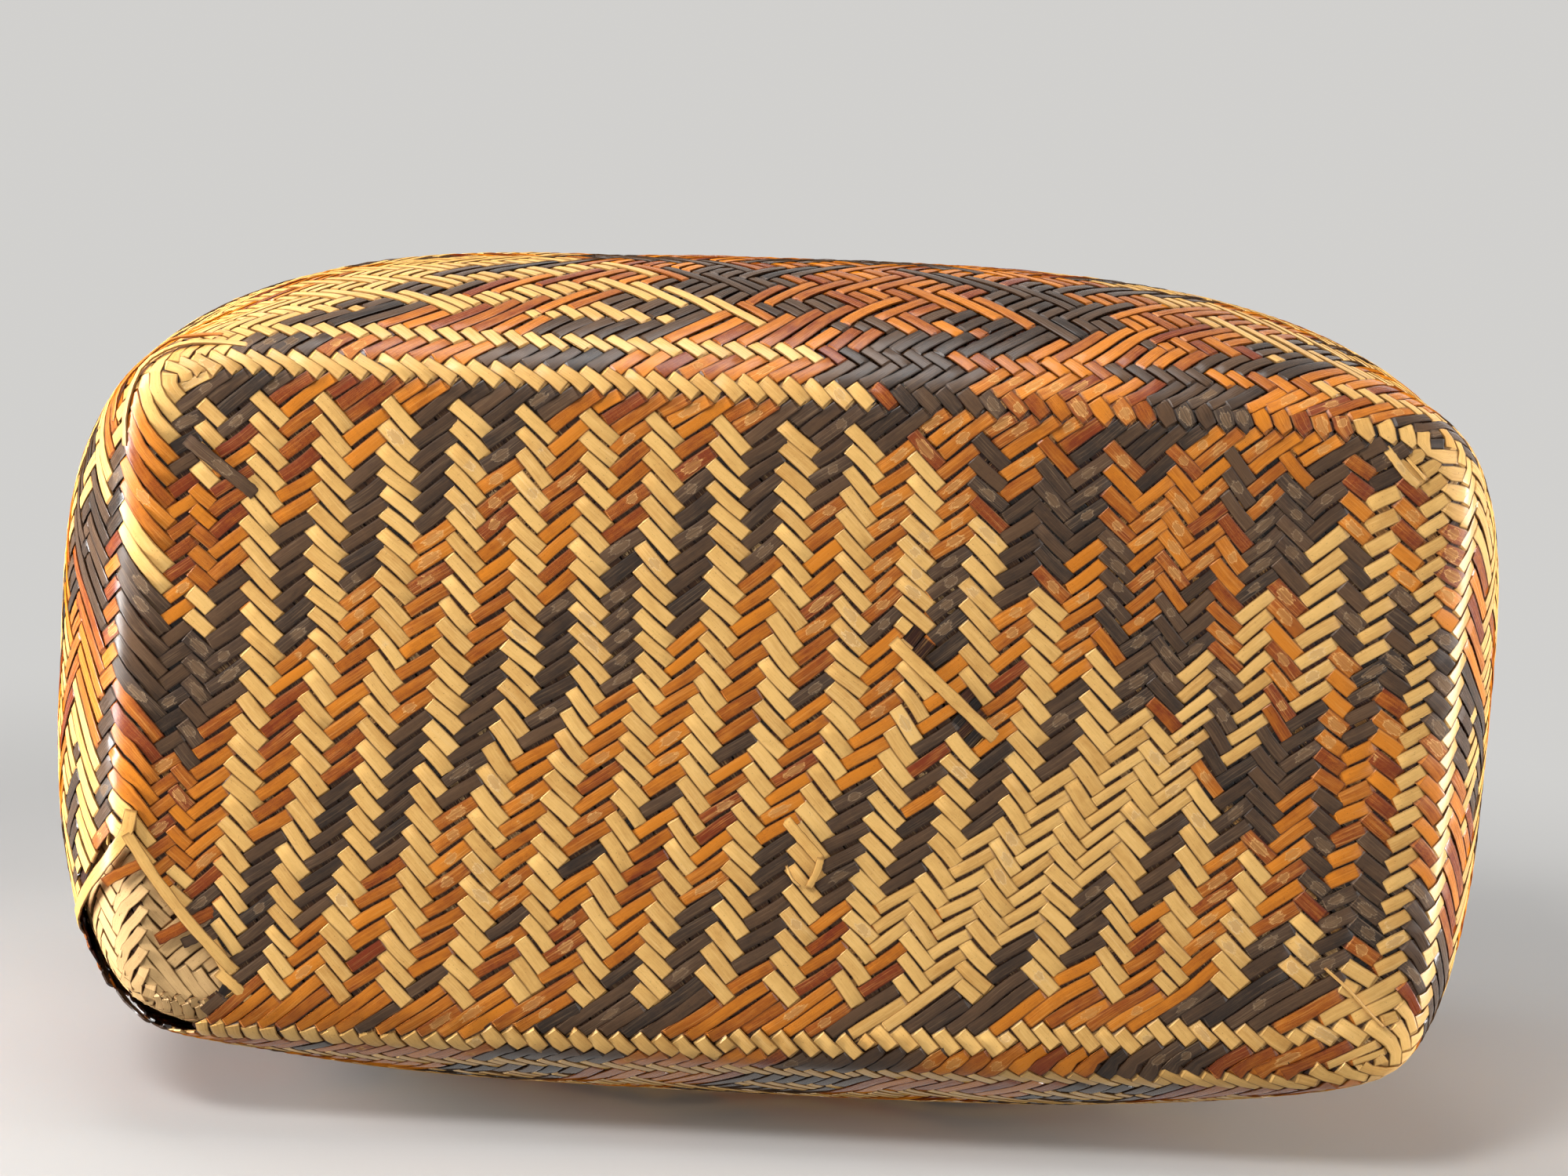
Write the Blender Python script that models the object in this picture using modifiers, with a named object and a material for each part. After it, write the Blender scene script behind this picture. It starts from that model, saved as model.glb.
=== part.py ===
"""A lidded basket of split cane, plaited as two baskets one inside the other.

The basket stands on its rectangular base with its length along X and its lid on top.
Its walls lean out from the base, are widest below half height and draw in to an upright
neck. The lid is a second, shallower pair of baskets that slides down over the neck.
Each layer of plaiting is one solid wall here. Metres, +Z up, and the origin is at the
middle of the underside.
"""

import math

import bmesh
import bpy

# The base, a rectangle with rounded corners
BASE_LENGTH = 0.400
BASE_WIDTH = 0.208
BASE_SQUARENESS = 14.0
CREASE_INSET = 0.0035
CREASE_HEIGHT = 0.0035

# The walls, which swell out from the base and draw in again to the neck
LENGTH_SWELL = 0.029
WIDTH_SWELL = 0.031
LENGTH_FLARE_POWER = 3.0
WIDTH_FLARE_POWER = 2.2
WIDEST_HEIGHT = 0.090
NECK_HEIGHT = 0.053
MOUTH_HEIGHT = 0.203
NECK_SWELL_SHARE = 0.60
WALL_SQUARENESS = 3.4
CORNER_FADE_HEIGHT = 0.015

# The plaiting, two layers thick, and the folded edge where one layer turns into the other
LAYER = 0.0016
LAYER_GAP = 0.0004
FOLD_HEIGHT = 0.0034
FOLD_ROUNDING = 0.0010
LARGEST_ROUNDING_SHARE = 0.4
SEAT_GAP = 0.0003

# The lid, which covers the neck
LID_OVERLAP = 0.049
LID_CLEARANCE = 0.0010
LID_SHOULDER_DROP = 0.0055
LID_RISE = 0.030
LID_TOP_INSET = 0.023
LID_TOP_SQUARENESS = 7.0
LID_CORNER_FADE_HEIGHT = 0.012

# The torn corner of the outer layer
TEAR_RADIUS = 0.0225
TEAR_FROM_END = 0.013
TEAR_FROM_SIDE = 0.019

# How finely the rounded outlines are divided: points from mid-side to corner
LONG_SIDE_STEPS = 7
SHORT_SIDE_STEPS = 5

# Heights of the rings that the walls are drawn through, as shares of each stretch
FLARE_RING_SHARES = (0.11, 0.24, 0.43, 0.67, 1.0)
DRAW_IN_RING_SHARES = (0.33, 0.67, 1.0)
CREASE_RING_SHARES = (0.0, 0.35, 1.0)
LID_SHOULDER_RING_SHARES = (0.28, 0.55, 0.83, 1.0)

# Worked out from the sizes above
DOUBLE_WALL = 2 * LAYER + LAYER_GAP
NECK_START_HEIGHT = MOUTH_HEIGHT - NECK_HEIGHT
NECK_HALF_LENGTH = BASE_LENGTH / 2 + LENGTH_SWELL * NECK_SWELL_SHARE
NECK_HALF_WIDTH = BASE_WIDTH / 2 + WIDTH_SWELL * NECK_SWELL_SHARE
RIM_TOP = MOUTH_HEIGHT + SEAT_GAP + FOLD_HEIGHT
LID_FOLD_BOTTOM = RIM_TOP - LID_OVERLAP
LID_WALL_BOTTOM = LID_FOLD_BOTTOM + FOLD_HEIGHT + SEAT_GAP
LID_WALL_GROWTH = LID_CLEARANCE + DOUBLE_WALL
LID_SHOULDER_START = RIM_TOP - LID_SHOULDER_DROP
LID_TOP = RIM_TOP + LID_RISE


def clear_scene():
    for thing in list(bpy.data.objects):
        bpy.data.objects.remove(thing, do_unlink=True)


def new_collection(name):
    collection = bpy.data.collections.new(name)
    bpy.context.scene.collection.children.link(collection)
    return collection


def cane_material(name, colour, roughness):
    material = bpy.data.materials.new(name)
    material.use_nodes = True
    shader = material.node_tree.nodes["Principled BSDF"]
    shader.inputs["Base Color"].default_value = (*colour, 1.0)
    shader.inputs["Roughness"].default_value = roughness
    shader.inputs["Metallic"].default_value = 0.0
    return material


def directions():
    """Unit directions from the axis, shared by every outline so that nested walls keep their gaps.

    They point at places on the base rectangle that crowd towards its corners.
    """
    half_length = BASE_LENGTH / 2
    half_width = BASE_WIDTH / 2
    quarter = math.pi / 2
    corner = []
    for step in range(SHORT_SIDE_STEPS):
        share = math.sin(quarter * step / SHORT_SIDE_STEPS)
        corner.append((half_length, half_width * share))
    for step in range(LONG_SIDE_STEPS, 0, -1):
        share = math.sin(quarter * step / LONG_SIDE_STEPS)
        corner.append((half_length * share, half_width))
    angles = [math.atan2(y, x) for x, y in corner] + [quarter]
    mirrored = [math.pi - angle for angle in reversed(angles[:-1])]
    half_turn = angles + mirrored[:-1]
    turn = half_turn + [angle + math.pi for angle in half_turn]
    return [(math.cos(angle), math.sin(angle)) for angle in turn]


def outline(half_length, half_width, squareness):
    """Points of a rounded rectangle, |x / a| ** n + |y / b| ** n = 1, one in each direction."""
    points = []
    for x, y in directions():
        reach = (abs(x) / half_length) ** squareness + (abs(y) / half_width) ** squareness
        radius = reach ** (-1 / squareness)
        points.append((x * radius, y * radius))
    return points


def swell_share(height, flare_power):
    """How far the wall has swelled: a power curve up to the widest place, then a soft S to the neck."""
    if height <= WIDEST_HEIGHT:
        return 1 - (1 - height / WIDEST_HEIGHT) ** flare_power
    climb = min(1.0, (height - WIDEST_HEIGHT) / (NECK_START_HEIGHT - WIDEST_HEIGHT))
    return 1 - (1 - NECK_SWELL_SHARE) * (1 - math.cos(math.pi * climb)) / 2


def wall_ring(height):
    """One ring of the basket's outer face: the height and the outline there."""
    crease = CREASE_INSET * max(0.0, 1 - height / CREASE_HEIGHT) ** 2
    half_length = BASE_LENGTH / 2 + LENGTH_SWELL * swell_share(height, LENGTH_FLARE_POWER) - crease
    half_width = BASE_WIDTH / 2 + WIDTH_SWELL * swell_share(height, WIDTH_FLARE_POWER) - crease
    fade = math.exp(-height / CORNER_FADE_HEIGHT)
    squareness = WALL_SQUARENESS + (BASE_SQUARENESS - WALL_SQUARENESS) * fade
    return height, outline(half_length, half_width, squareness)


def basket_rings():
    heights = [CREASE_HEIGHT * share for share in CREASE_RING_SHARES]
    heights += [WIDEST_HEIGHT * share for share in FLARE_RING_SHARES]
    draw_in = NECK_START_HEIGHT - WIDEST_HEIGHT
    heights += [WIDEST_HEIGHT + draw_in * share for share in DRAW_IN_RING_SHARES]
    heights.append(MOUTH_HEIGHT)
    return [wall_ring(height) for height in heights]


def lid_ring(height):
    """One ring of the lid's outer face. Above the shoulder's start it bends in to the flat top.

    Its height is in the lid's own frame, whose origin is under the lid's edge.
    """
    depth = LID_TOP - height
    bend = max(0.0, height - LID_SHOULDER_START) / (LID_TOP - LID_SHOULDER_START)
    crease = CREASE_INSET * max(0.0, 1 - depth / CREASE_HEIGHT) ** 2
    inset = LID_TOP_INSET * bend**2 + crease
    half_length = NECK_HALF_LENGTH + LID_WALL_GROWTH - inset
    half_width = NECK_HALF_WIDTH + LID_WALL_GROWTH - inset
    fade = math.exp(-depth / LID_CORNER_FADE_HEIGHT)
    squareness = WALL_SQUARENESS + (LID_TOP_SQUARENESS - WALL_SQUARENESS) * fade
    return height - LID_FOLD_BOTTOM, outline(half_length, half_width, squareness)


def lid_rings():
    """The lid's rings from its top down."""
    heights = [LID_TOP - CREASE_HEIGHT * share for share in CREASE_RING_SHARES]
    shoulder = LID_TOP - LID_SHOULDER_START
    heights += [LID_TOP - shoulder * share for share in LID_SHOULDER_RING_SHARES]
    heights.append(LID_WALL_BOTTOM)
    return [lid_ring(height) for height in heights]


def surface_through(name, rings, closed_end, collection):
    """An open surface of triangles through rings of equal point counts, whose first ring may be filled."""
    mesh = bpy.data.meshes.new(name)
    form = bmesh.new()
    loops = []
    for height, points in rings:
        loops.append([form.verts.new((x, y, height)) for x, y in points])
    count = len(loops[0])
    for lower, upper in zip(loops, loops[1:]):
        for here in range(count):
            there = (here + 1) % count
            form.faces.new((lower[here], lower[there], upper[there], upper[here]))
    bmesh.ops.triangulate(form, faces=form.faces[:])
    if closed_end:
        form.faces.new(loops[0])
    bmesh.ops.recalc_face_normals(form, faces=form.faces[:])
    form.to_mesh(mesh)
    form.free()
    mesh.shade_smooth()
    piece = bpy.data.objects.new(name, mesh)
    collection.objects.link(piece)
    return piece


def give_wall(piece, thickness, depth):
    """Solidify into a wall whose outer face lies depth below the drawn surface."""
    wall = piece.modifiers.new("wall", "SOLIDIFY")
    wall.thickness = thickness
    wall.offset = -1 - 2 * depth / thickness
    wall.use_even_offset = True
    wall.use_quality_normals = True
    wall.use_rim = True


def folded_edge(name, half_length, half_width, bottom, collection):
    """The band where the plaiting folds over from one layer to the other, rounded on its edges."""
    outer = outline(half_length, half_width, WALL_SQUARENESS)
    inner = outline(half_length - DOUBLE_WALL, half_width - DOUBLE_WALL, WALL_SQUARENESS)
    band = surface_through(name, [(bottom, outer), (bottom, inner)], False, collection)
    make_faces_point(band, up=True)
    height = band.modifiers.new("height", "SOLIDIFY")
    height.thickness = FOLD_HEIGHT
    height.offset = 1.0
    rounding = band.modifiers.new("rounding", "BEVEL")
    rounding.width = min(FOLD_ROUNDING, FOLD_HEIGHT * LARGEST_ROUNDING_SHARE)
    rounding.segments = 2
    rounding.limit_method = "ANGLE"
    rounding.angle_limit = math.radians(60)
    return band


def make_faces_point(piece, up):
    mesh = piece.data
    mesh.update()
    if (mesh.polygons[0].normal.z > 0) != up:
        mesh.flip_normals()


def cut_tear(piece, cutters):
    """Tears the outer layer open at one corner of the base, so that the inner basket shows."""
    middle = (TEAR_FROM_END - BASE_LENGTH / 2, BASE_WIDTH / 2 - TEAR_FROM_SIDE, 0.0)
    mesh = bpy.data.meshes.new("tear_shape")
    form = bmesh.new()
    bmesh.ops.create_uvsphere(form, u_segments=14, v_segments=8, radius=TEAR_RADIUS)
    form.to_mesh(mesh)
    form.free()
    cutter = bpy.data.objects.new("tear_shape", mesh)
    cutter.location = middle
    cutter.hide_render = True
    cutter.display_type = "WIRE"
    cutters.objects.link(cutter)
    cut = piece.modifiers.new("tear", "BOOLEAN")
    cut.operation = "DIFFERENCE"
    cut.solver = "EXACT"
    cut.object = cutter


def own_empty(name, height, collection):
    empty = bpy.data.objects.new(name, None)
    empty.location = (0.0, 0.0, height)
    collection.objects.link(empty)
    return empty


def make_basket(parts, cutters, dyed, plain):
    stand = own_empty("basket_frame", 0.0, parts)
    outer = surface_through("outer_basket", basket_rings(), True, parts)
    give_wall(outer, LAYER, 0.0)
    cut_tear(outer, cutters)
    inner = surface_through("inner_basket", basket_rings(), True, parts)
    give_wall(inner, LAYER, LAYER + LAYER_GAP)
    rim_bottom = MOUTH_HEIGHT + SEAT_GAP
    fold = folded_edge("mouth_fold", NECK_HALF_LENGTH, NECK_HALF_WIDTH, rim_bottom, parts)
    for piece, material in ((outer, dyed), (inner, plain), (fold, dyed)):
        piece.data.materials.append(material)
        piece.parent = stand


def make_lid(parts, dyed, plain):
    lift = own_empty("lid_lift_axis", LID_FOLD_BOTTOM, parts)
    outer = surface_through("lid_outer", lid_rings(), True, parts)
    give_wall(outer, LAYER, 0.0)
    inner = surface_through("lid_inner", lid_rings(), True, parts)
    give_wall(inner, LAYER, LAYER + LAYER_GAP)
    half_length = NECK_HALF_LENGTH + LID_WALL_GROWTH
    half_width = NECK_HALF_WIDTH + LID_WALL_GROWTH
    fold = folded_edge("lid_fold", half_length, half_width, 0.0, parts)
    for piece, material in ((outer, dyed), (inner, plain), (fold, dyed)):
        piece.data.materials.append(material)
        piece.parent = lift


def main():
    clear_scene()
    parts = new_collection("lidded_cane_basket")
    cutters = new_collection("cutters")
    dyed = cane_material("dyed_cane", (0.50, 0.27, 0.10), 0.45)
    plain = cane_material("plain_cane", (0.66, 0.48, 0.27), 0.60)
    make_basket(parts, cutters, dyed, plain)
    make_lid(parts, dyed, plain)


main()
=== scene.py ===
# %% [markdown]
# # A plaited cane basket with a lift-off lid
#
# The real object is a double basket: an inner basket of plain split cane, turned over at the
# mouth and plaited down again outside in dyed cane, with a lid made in the same way. It is seen
# from below, with its worn base towards the camera. A bump map on a smooth shell would be the
# quick way to show plaiting, but its outline stays smooth and no cane ever passes under another.
# Here every cane is a real strip that goes over and under its neighbours, so gaps, shadows and
# the torn corner are true from every side.
#
# First the frame comes in: six solid walls whose places every cane below must follow.

# %% Load the frame
import math

import bpy
import numpy as np
from mathutils import Matrix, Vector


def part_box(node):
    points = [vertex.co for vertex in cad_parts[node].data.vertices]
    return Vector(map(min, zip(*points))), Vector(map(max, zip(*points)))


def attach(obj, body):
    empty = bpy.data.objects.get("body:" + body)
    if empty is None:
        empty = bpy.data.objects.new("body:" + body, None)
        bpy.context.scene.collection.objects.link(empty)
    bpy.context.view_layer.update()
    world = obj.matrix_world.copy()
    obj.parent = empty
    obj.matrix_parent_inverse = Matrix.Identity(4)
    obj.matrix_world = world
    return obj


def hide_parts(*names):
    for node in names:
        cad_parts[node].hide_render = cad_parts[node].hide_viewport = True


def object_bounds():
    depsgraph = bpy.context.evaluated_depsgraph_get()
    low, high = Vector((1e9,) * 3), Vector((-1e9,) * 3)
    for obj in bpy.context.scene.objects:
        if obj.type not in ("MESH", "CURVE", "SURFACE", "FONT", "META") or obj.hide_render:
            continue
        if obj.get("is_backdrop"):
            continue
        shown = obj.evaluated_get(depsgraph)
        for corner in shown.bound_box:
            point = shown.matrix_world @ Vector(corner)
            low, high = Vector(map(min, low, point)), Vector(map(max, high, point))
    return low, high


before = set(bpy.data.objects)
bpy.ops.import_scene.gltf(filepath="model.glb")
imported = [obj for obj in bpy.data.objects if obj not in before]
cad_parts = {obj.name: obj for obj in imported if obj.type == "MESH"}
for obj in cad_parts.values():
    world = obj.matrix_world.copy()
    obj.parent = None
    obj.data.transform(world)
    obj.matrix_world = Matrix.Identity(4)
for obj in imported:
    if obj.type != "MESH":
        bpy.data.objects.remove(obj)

MILLIMETRE = 0.001


def plain_list(bounds):
    """Two corners as a plain list of rounded numbers."""
    return [[round(float(value), 6) for value in corner] for corner in bounds]


cad_box = plain_list(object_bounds())
print("solids", sorted(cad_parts), "box", cad_box)

# %% [markdown]
# ## The camera
#
# The basket lies on one long side in the picture and shows its base. Rather than lay the object
# down, the camera goes below it and looks up, because a part should stand in its natural pose.
# The lens is long, as for a museum picture, so the sides hardly converge.

# %% Camera below the base
CAMERA_DISTANCE = 1.1
CAMERA_TURN = -0.0563
CAMERA_TILT = -0.1508
CAMERA_ROLL = 0.0661
CAMERA_SIDE = -0.0016
CAMERA_RISE = 0.0423
LENS = 83.475 * MILLIMETRE
FILM_WIDTH = 36 * MILLIMETRE

looking_up = Matrix.Diagonal((1, -1, -1, 1))
aim = looking_up @ Matrix.Rotation(CAMERA_TURN, 4, "Y") @ Matrix.Rotation(CAMERA_TILT, 4, "X")
aim = aim @ Matrix.Rotation(CAMERA_ROLL, 4, "Z")
camera = bpy.data.objects.new("camera", bpy.data.cameras.new("camera"))
camera.data.lens = LENS / MILLIMETRE
camera.data.sensor_width = FILM_WIDTH / MILLIMETRE
camera.matrix_world = aim @ Matrix.Translation((CAMERA_SIDE, CAMERA_RISE, CAMERA_DISTANCE))
bpy.context.scene.collection.objects.link(camera)
bpy.context.scene.camera = camera
print("camera at", [round(value, 3) for value in camera.matrix_world.translation])

# %% [markdown]
# ## Helpers for surfaces and shader nodes
#
# Every piece below is an array of points, so one helper turns arrays into a mesh. Shader trees
# are long to write out, so another helper adds a node and links its inputs in one call.


# %% Mesh and node helpers
def mesh_from_arrays(name, points, quads, ends):
    """A mesh from points (n, 3), four-sided faces (f, 4) and many-sided end faces (e, k)."""
    loops = np.concatenate([quads.ravel(), ends.ravel()])
    totals = np.concatenate([np.full(len(quads), quads.shape[1]), np.full(len(ends), ends.shape[1])])
    starts = np.concatenate([[0], np.cumsum(totals)[:-1]])
    mesh = bpy.data.meshes.new(name)
    mesh.vertices.add(len(points))
    mesh.vertices.foreach_set("co", points.astype(np.float32).ravel())
    mesh.loops.add(len(loops))
    mesh.loops.foreach_set("vertex_index", loops.astype(np.int32))
    mesh.polygons.add(len(totals))
    mesh.polygons.foreach_set("loop_start", starts.astype(np.int32))
    mesh.update(calc_edges=True)
    return mesh


def object_for(name, mesh):
    """A new object in the scene that holds the mesh."""
    thing = bpy.data.objects.new(name, mesh)
    bpy.context.scene.collection.objects.link(thing)
    return thing


def add_node(tree, kind, links=None, values=None, **settings):
    """One shader node with its settings, linked inputs and typed values, all by name or number."""
    node = tree.nodes.new(kind)
    for key, value in settings.items():
        setattr(node, key, value)
    for key, value in (values or {}).items():
        node.inputs[key].default_value = value
    for key, socket in (links or {}).items():
        tree.links.new(socket, node.inputs[key])
    return node


def calculate(tree, operation, first, second=None, clamp=False):
    """A Math node on sockets or plain numbers."""
    node = tree.nodes.new("ShaderNodeMath")
    node.operation = operation
    node.use_clamp = clamp
    for number, value in enumerate((first, second)):
        if isinstance(value, bpy.types.NodeSocket):
            tree.links.new(value, node.inputs[number])
        elif value is not None:
            node.inputs[number].default_value = value
    return node.outputs[0]


def step_between(tree, value, low, high, to_low=0.0, to_high=1.0):
    """A soft step: to_low under low, to_high over high, and smooth in between."""
    node = add_node(tree, "ShaderNodeMapRange", links={"Value": value}, interpolation_type="SMOOTHSTEP",
                    values={"From Min": low, "From Max": high, "To Min": to_low, "To Max": to_high})
    return node.outputs["Result"]


def mix_colours(tree, share, first, second, blend="MIX"):
    """A colour mix whose share and colours are sockets or plain values."""
    node = tree.nodes.new("ShaderNodeMix")
    node.data_type = "RGBA"
    node.blend_type = blend
    for number, value in ((0, share), (6, first), (7, second)):
        if isinstance(value, bpy.types.NodeSocket):
            tree.links.new(value, node.inputs[number])
        elif isinstance(value, tuple):
            node.inputs[number].default_value = (*value, 1.0)
        else:
            node.inputs[number].default_value = value
    return node.outputs[2]


print("helpers ready")

# %% [markdown]
# ## The form that the plaiting follows
#
# A plaited basket is one continuous cloth: a flat rectangle for the base, bent up all round into
# walls. A modelled shell with modifiers could give the form, but the canes need places and
# normals at thousands of exact spots, so the form is a formula. A place on the base is u steps
# along and v steps across, where a step is one cane's width of plaiting. A place on the walls is
# q steps round and w steps up from the base's edge.

# %% Count the canes and describe the basket's profile
STEPS_LONG = 60
STEPS_WIDE = 31
HALF_LONG = STEPS_LONG / 2
HALF_WIDE = STEPS_WIDE / 2
STEPS_ROUND = 2 * (STEPS_LONG + STEPS_WIDE)

BASE_LENGTH = 0.400
BASE_WIDTH = 0.208
STEP = BASE_LENGTH / STEPS_LONG
BASE_SQUARENESS = 14.0
CREASE = 0.0035
LENGTH_SWELL = 0.029
WIDTH_SWELL = 0.031
LENGTH_FLARE_POWER = 3.0
WIDTH_FLARE_POWER = 2.2
WIDEST_HEIGHT = 0.090
MOUTH_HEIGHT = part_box("outer_basket")[1].z
NECK_HEIGHT = 0.053
NECK_START = MOUTH_HEIGHT - NECK_HEIGHT
NECK_SWELL_SHARE = 0.60
WALL_SQUARENESS = 3.4
CORNER_FADE = 0.015
LAYER = 0.0016
LAYER_GAP = 0.0004


def swell_share(height, power):
    """How far the wall has swelled: a power curve to the widest height, then a soft S to the neck."""
    low = 1 - np.clip(1 - height / WIDEST_HEIGHT, 0, 1) ** power
    climb = np.clip((height - WIDEST_HEIGHT) / (NECK_START - WIDEST_HEIGHT), 0, 1)
    return low - (1 - NECK_SWELL_SHARE) * (1 - np.cos(np.pi * climb)) / 2


def basket_sizes(height):
    """Half length, half width and squareness of the basket's outline at each height."""
    crease = CREASE * np.clip(1 - height / CREASE, 0, 1) ** 2
    long = BASE_LENGTH / 2 + LENGTH_SWELL * swell_share(height, LENGTH_FLARE_POWER) - crease
    wide = BASE_WIDTH / 2 + WIDTH_SWELL * swell_share(height, WIDTH_FLARE_POWER) - crease
    square = WALL_SQUARENESS + (BASE_SQUARENESS - WALL_SQUARENESS) * np.exp(-height / CORNER_FADE)
    return long, wide, square


LID_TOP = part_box("lid_outer")[1].z
LID_WALL_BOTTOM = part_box("lid_outer")[0].z
SHOULDER_DROP = 0.0055
LID_SHOULDER_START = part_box("mouth_fold")[1].z - SHOULDER_DROP
LID_TOP_INSET = 0.023
LID_TOP_SQUARENESS = 7.0
LID_CORNER_FADE = 0.012
LID_HALF_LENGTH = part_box("lid_outer")[1].x
LID_HALF_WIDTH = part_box("lid_outer")[1].y


def lid_sizes(depth):
    """Half length, half width and squareness of the lid's outline at each depth below its top."""
    shoulder = LID_TOP - LID_SHOULDER_START
    bend = np.clip(1 - depth / shoulder, 0, 1)
    inset = LID_TOP_INSET * bend**2 + CREASE * np.clip(1 - depth / CREASE, 0, 1) ** 2
    square = WALL_SQUARENESS + (LID_TOP_SQUARENESS - WALL_SQUARENESS) * np.exp(-depth / LID_CORNER_FADE)
    return LID_HALF_LENGTH - inset, LID_HALF_WIDTH - inset, square


PROFILE_SAMPLES = 600


def make_form(sizes, reach, flat_height, direction):
    """A form: its profile by arc length from the flat face's edge, and how it stands.

    The arc length is summed along the mean of the two side profiles. The direction is 1 where the
    walls go up from the flat face and -1 where they hang down, and the climb is their height in steps.
    """
    depth = np.linspace(0, 1, PROFILE_SAMPLES) ** 2 * reach
    long, wide, square = sizes(depth)
    out = (long + wide) / 2
    arc = np.concatenate([[0], np.cumsum(np.hypot(np.diff(depth), np.diff(out)))])
    return dict(arc=arc, long=long, wide=wide, square=square, height=flat_height + direction * depth,
                direction=direction, climb=round(float(arc[-1]) / STEP))


basket_form = make_form(basket_sizes, MOUTH_HEIGHT, 0.0, 1)
lid_form = make_form(lid_sizes, LID_TOP - LID_WALL_BOTTOM, LID_TOP, -1)
print("steps up the basket's wall", basket_form["climb"], "and down the lid's wall", lid_form["climb"])

# %% [markdown]
# ## From steps to places
#
# A place on the unit square is stretched to a rounded rectangle by one factor, which leaves the
# middle alone and only draws the corners in. The same factor serves the flat face and every ring
# of the wall, so the cloth has no seam. The old base isn't quite true: its columns lean a little
# towards one long side, and the cloth ripples where hands have pressed it.

# %% Places and normals on a form
LEAN = -2.5
LEAN_START = -2.0
LEAN_FADE_STEPS = 10
SPREAD_SHARE = 0.10
SPREAD_STEPS = 6
FIRST_CORNER = 0.5
SIDE_STARTS = np.array([0, STEPS_LONG, STEPS_LONG + STEPS_WIDE, STEPS_ROUND - STEPS_WIDE])
BULGE = 3.2 * MILLIMETRE
BULGE_FROM = -0.06
BULGE_OVER = 0.14
HOLLOW = 1.8 * MILLIMETRE
HOLLOW_FROM = 0.02
HOLLOW_OVER = 0.08
WAVE = 0.22
WAVE_FADE_STEPS = 4
RIPPLE = 0.5 * MILLIMETRE
CROWDING = -0.85
CROWDING_STARTS = 14
CROWDING_MOST = 25
NUDGE = 0.02


def smooth(value):
    """A soft step from 0 to 1."""
    value = np.clip(value, 0, 1)
    return value * value * (3 - 2 * value)


def lean_at(u, v):
    """How far the columns lean sideways at a place on the base, in steps."""
    fall = np.clip((v - LEAN_START) / (HALF_WIDE - LEAN_START), 0, 1)
    return LEAN * fall * (1 - np.clip(np.abs(u) / HALF_LONG, 0, 1) ** 4)


def crowded_at(u):
    """How far the columns near the right end are pushed to the left, in steps: one soft hump."""
    rise = smooth((u - CROWDING_STARTS) / (CROWDING_MOST - CROWDING_STARTS))
    return CROWDING * rise * smooth((HALF_LONG - u) / (HALF_LONG - CROWDING_MOST))


def flat_square(u, v):
    """The place on the unit square of a place on the flat face: the lean, and slow hand-made waves.

    The waves are products of sines that die out before the edge. Their numbers are radians a step,
    uneven on purpose, so that no wave repeats.
    """
    calm = smooth(np.minimum(HALF_LONG - np.abs(u), HALF_WIDE - np.abs(v)) / WAVE_FADE_STEPS)
    wave_u = WAVE * calm * np.sin(0.43 * u + 1.3 * np.sin(0.31 * v)) * np.cos(0.52 * v + 0.8)
    wave_v = WAVE * calm * np.sin(0.37 * v + 0.29 * u + 2.0) * np.cos(0.47 * u)
    return (u + lean_at(u, v) + crowded_at(u) + wave_u) / HALF_LONG, (v + wave_v) / HALF_WIDE


def square_place(q, w):
    """The place on the edge of the unit square that q steps round stand for.

    Along each side the steps are spread by a cubic, less near its corners, as the wall swells. Two
    waves, 13 and 7 to the round, sway the canes to the sides.
    """
    turn = 2 * np.pi / STEPS_ROUND
    sway = np.sin(13 * turn * q + 0.4 * w) + np.sin(7 * turn * q - 0.3 * w)
    q = (q + WAVE * smooth(w / WAVE_FADE_STEPS) * sway - FIRST_CORNER) % STEPS_ROUND
    side = np.searchsorted(SIDE_STARTS[1:], q, side="right")
    length = np.where(side % 2 == 0, STEPS_LONG, STEPS_WIDE)
    place = 2 * (q - SIDE_STARTS[side]) / length - 1
    lean = LEAN * (1 - place**4) * (1 - smooth(w / LEAN_FADE_STEPS))
    place = np.where(side == 2, place - 2 * lean / STEPS_LONG, place)
    place = place + SPREAD_SHARE * smooth(w / SPREAD_STEPS) * (place**3 - place)
    one = np.ones_like(place)
    x = np.choose(side, [place, one, -place, -one])
    y = np.choose(side, [-one, place, one, -place])
    crowded = crowded_at(x * HALF_LONG) / HALF_LONG * (1 - smooth(w / LEAN_FADE_STEPS))
    return np.where(side % 2 == 0, x + crowded, x), y


def pressed_by_hand(places):
    """The uneven swell of the old basket: its front bulges more at one end and less at the other.

    The shift is a half sine over the height, times two soft steps along the length.
    """
    share = np.clip(-places[..., 1] / (BASE_WIDTH / 2), 0, 1)
    hump = np.sin(np.pi * np.clip(places[..., 2] / NECK_START, 0, 1))
    more = smooth((places[..., 0] - BULGE_FROM) / BULGE_OVER) * BULGE
    less = smooth((-places[..., 0] - HOLLOW_FROM) / HOLLOW_OVER) * HOLLOW
    shift = np.zeros_like(places)
    shift[..., 1] = (less - more) * share * hump
    return places + shift


def stretched(form, x, y, arc):
    """The place in space of a place on the unit square, at an arc length down the profile."""
    square = np.interp(arc, form["arc"], form["square"])
    factor = (1 + np.abs(x * y) ** square) ** (-1 / square)
    long = np.interp(arc, form["arc"], form["long"])
    wide = np.interp(arc, form["arc"], form["wide"])
    height = np.interp(arc, form["arc"], form["height"])
    places = np.stack([x * long * factor, y * wide * factor, height], -1)
    return pressed_by_hand(places) if form["direction"] > 0 else places


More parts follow.
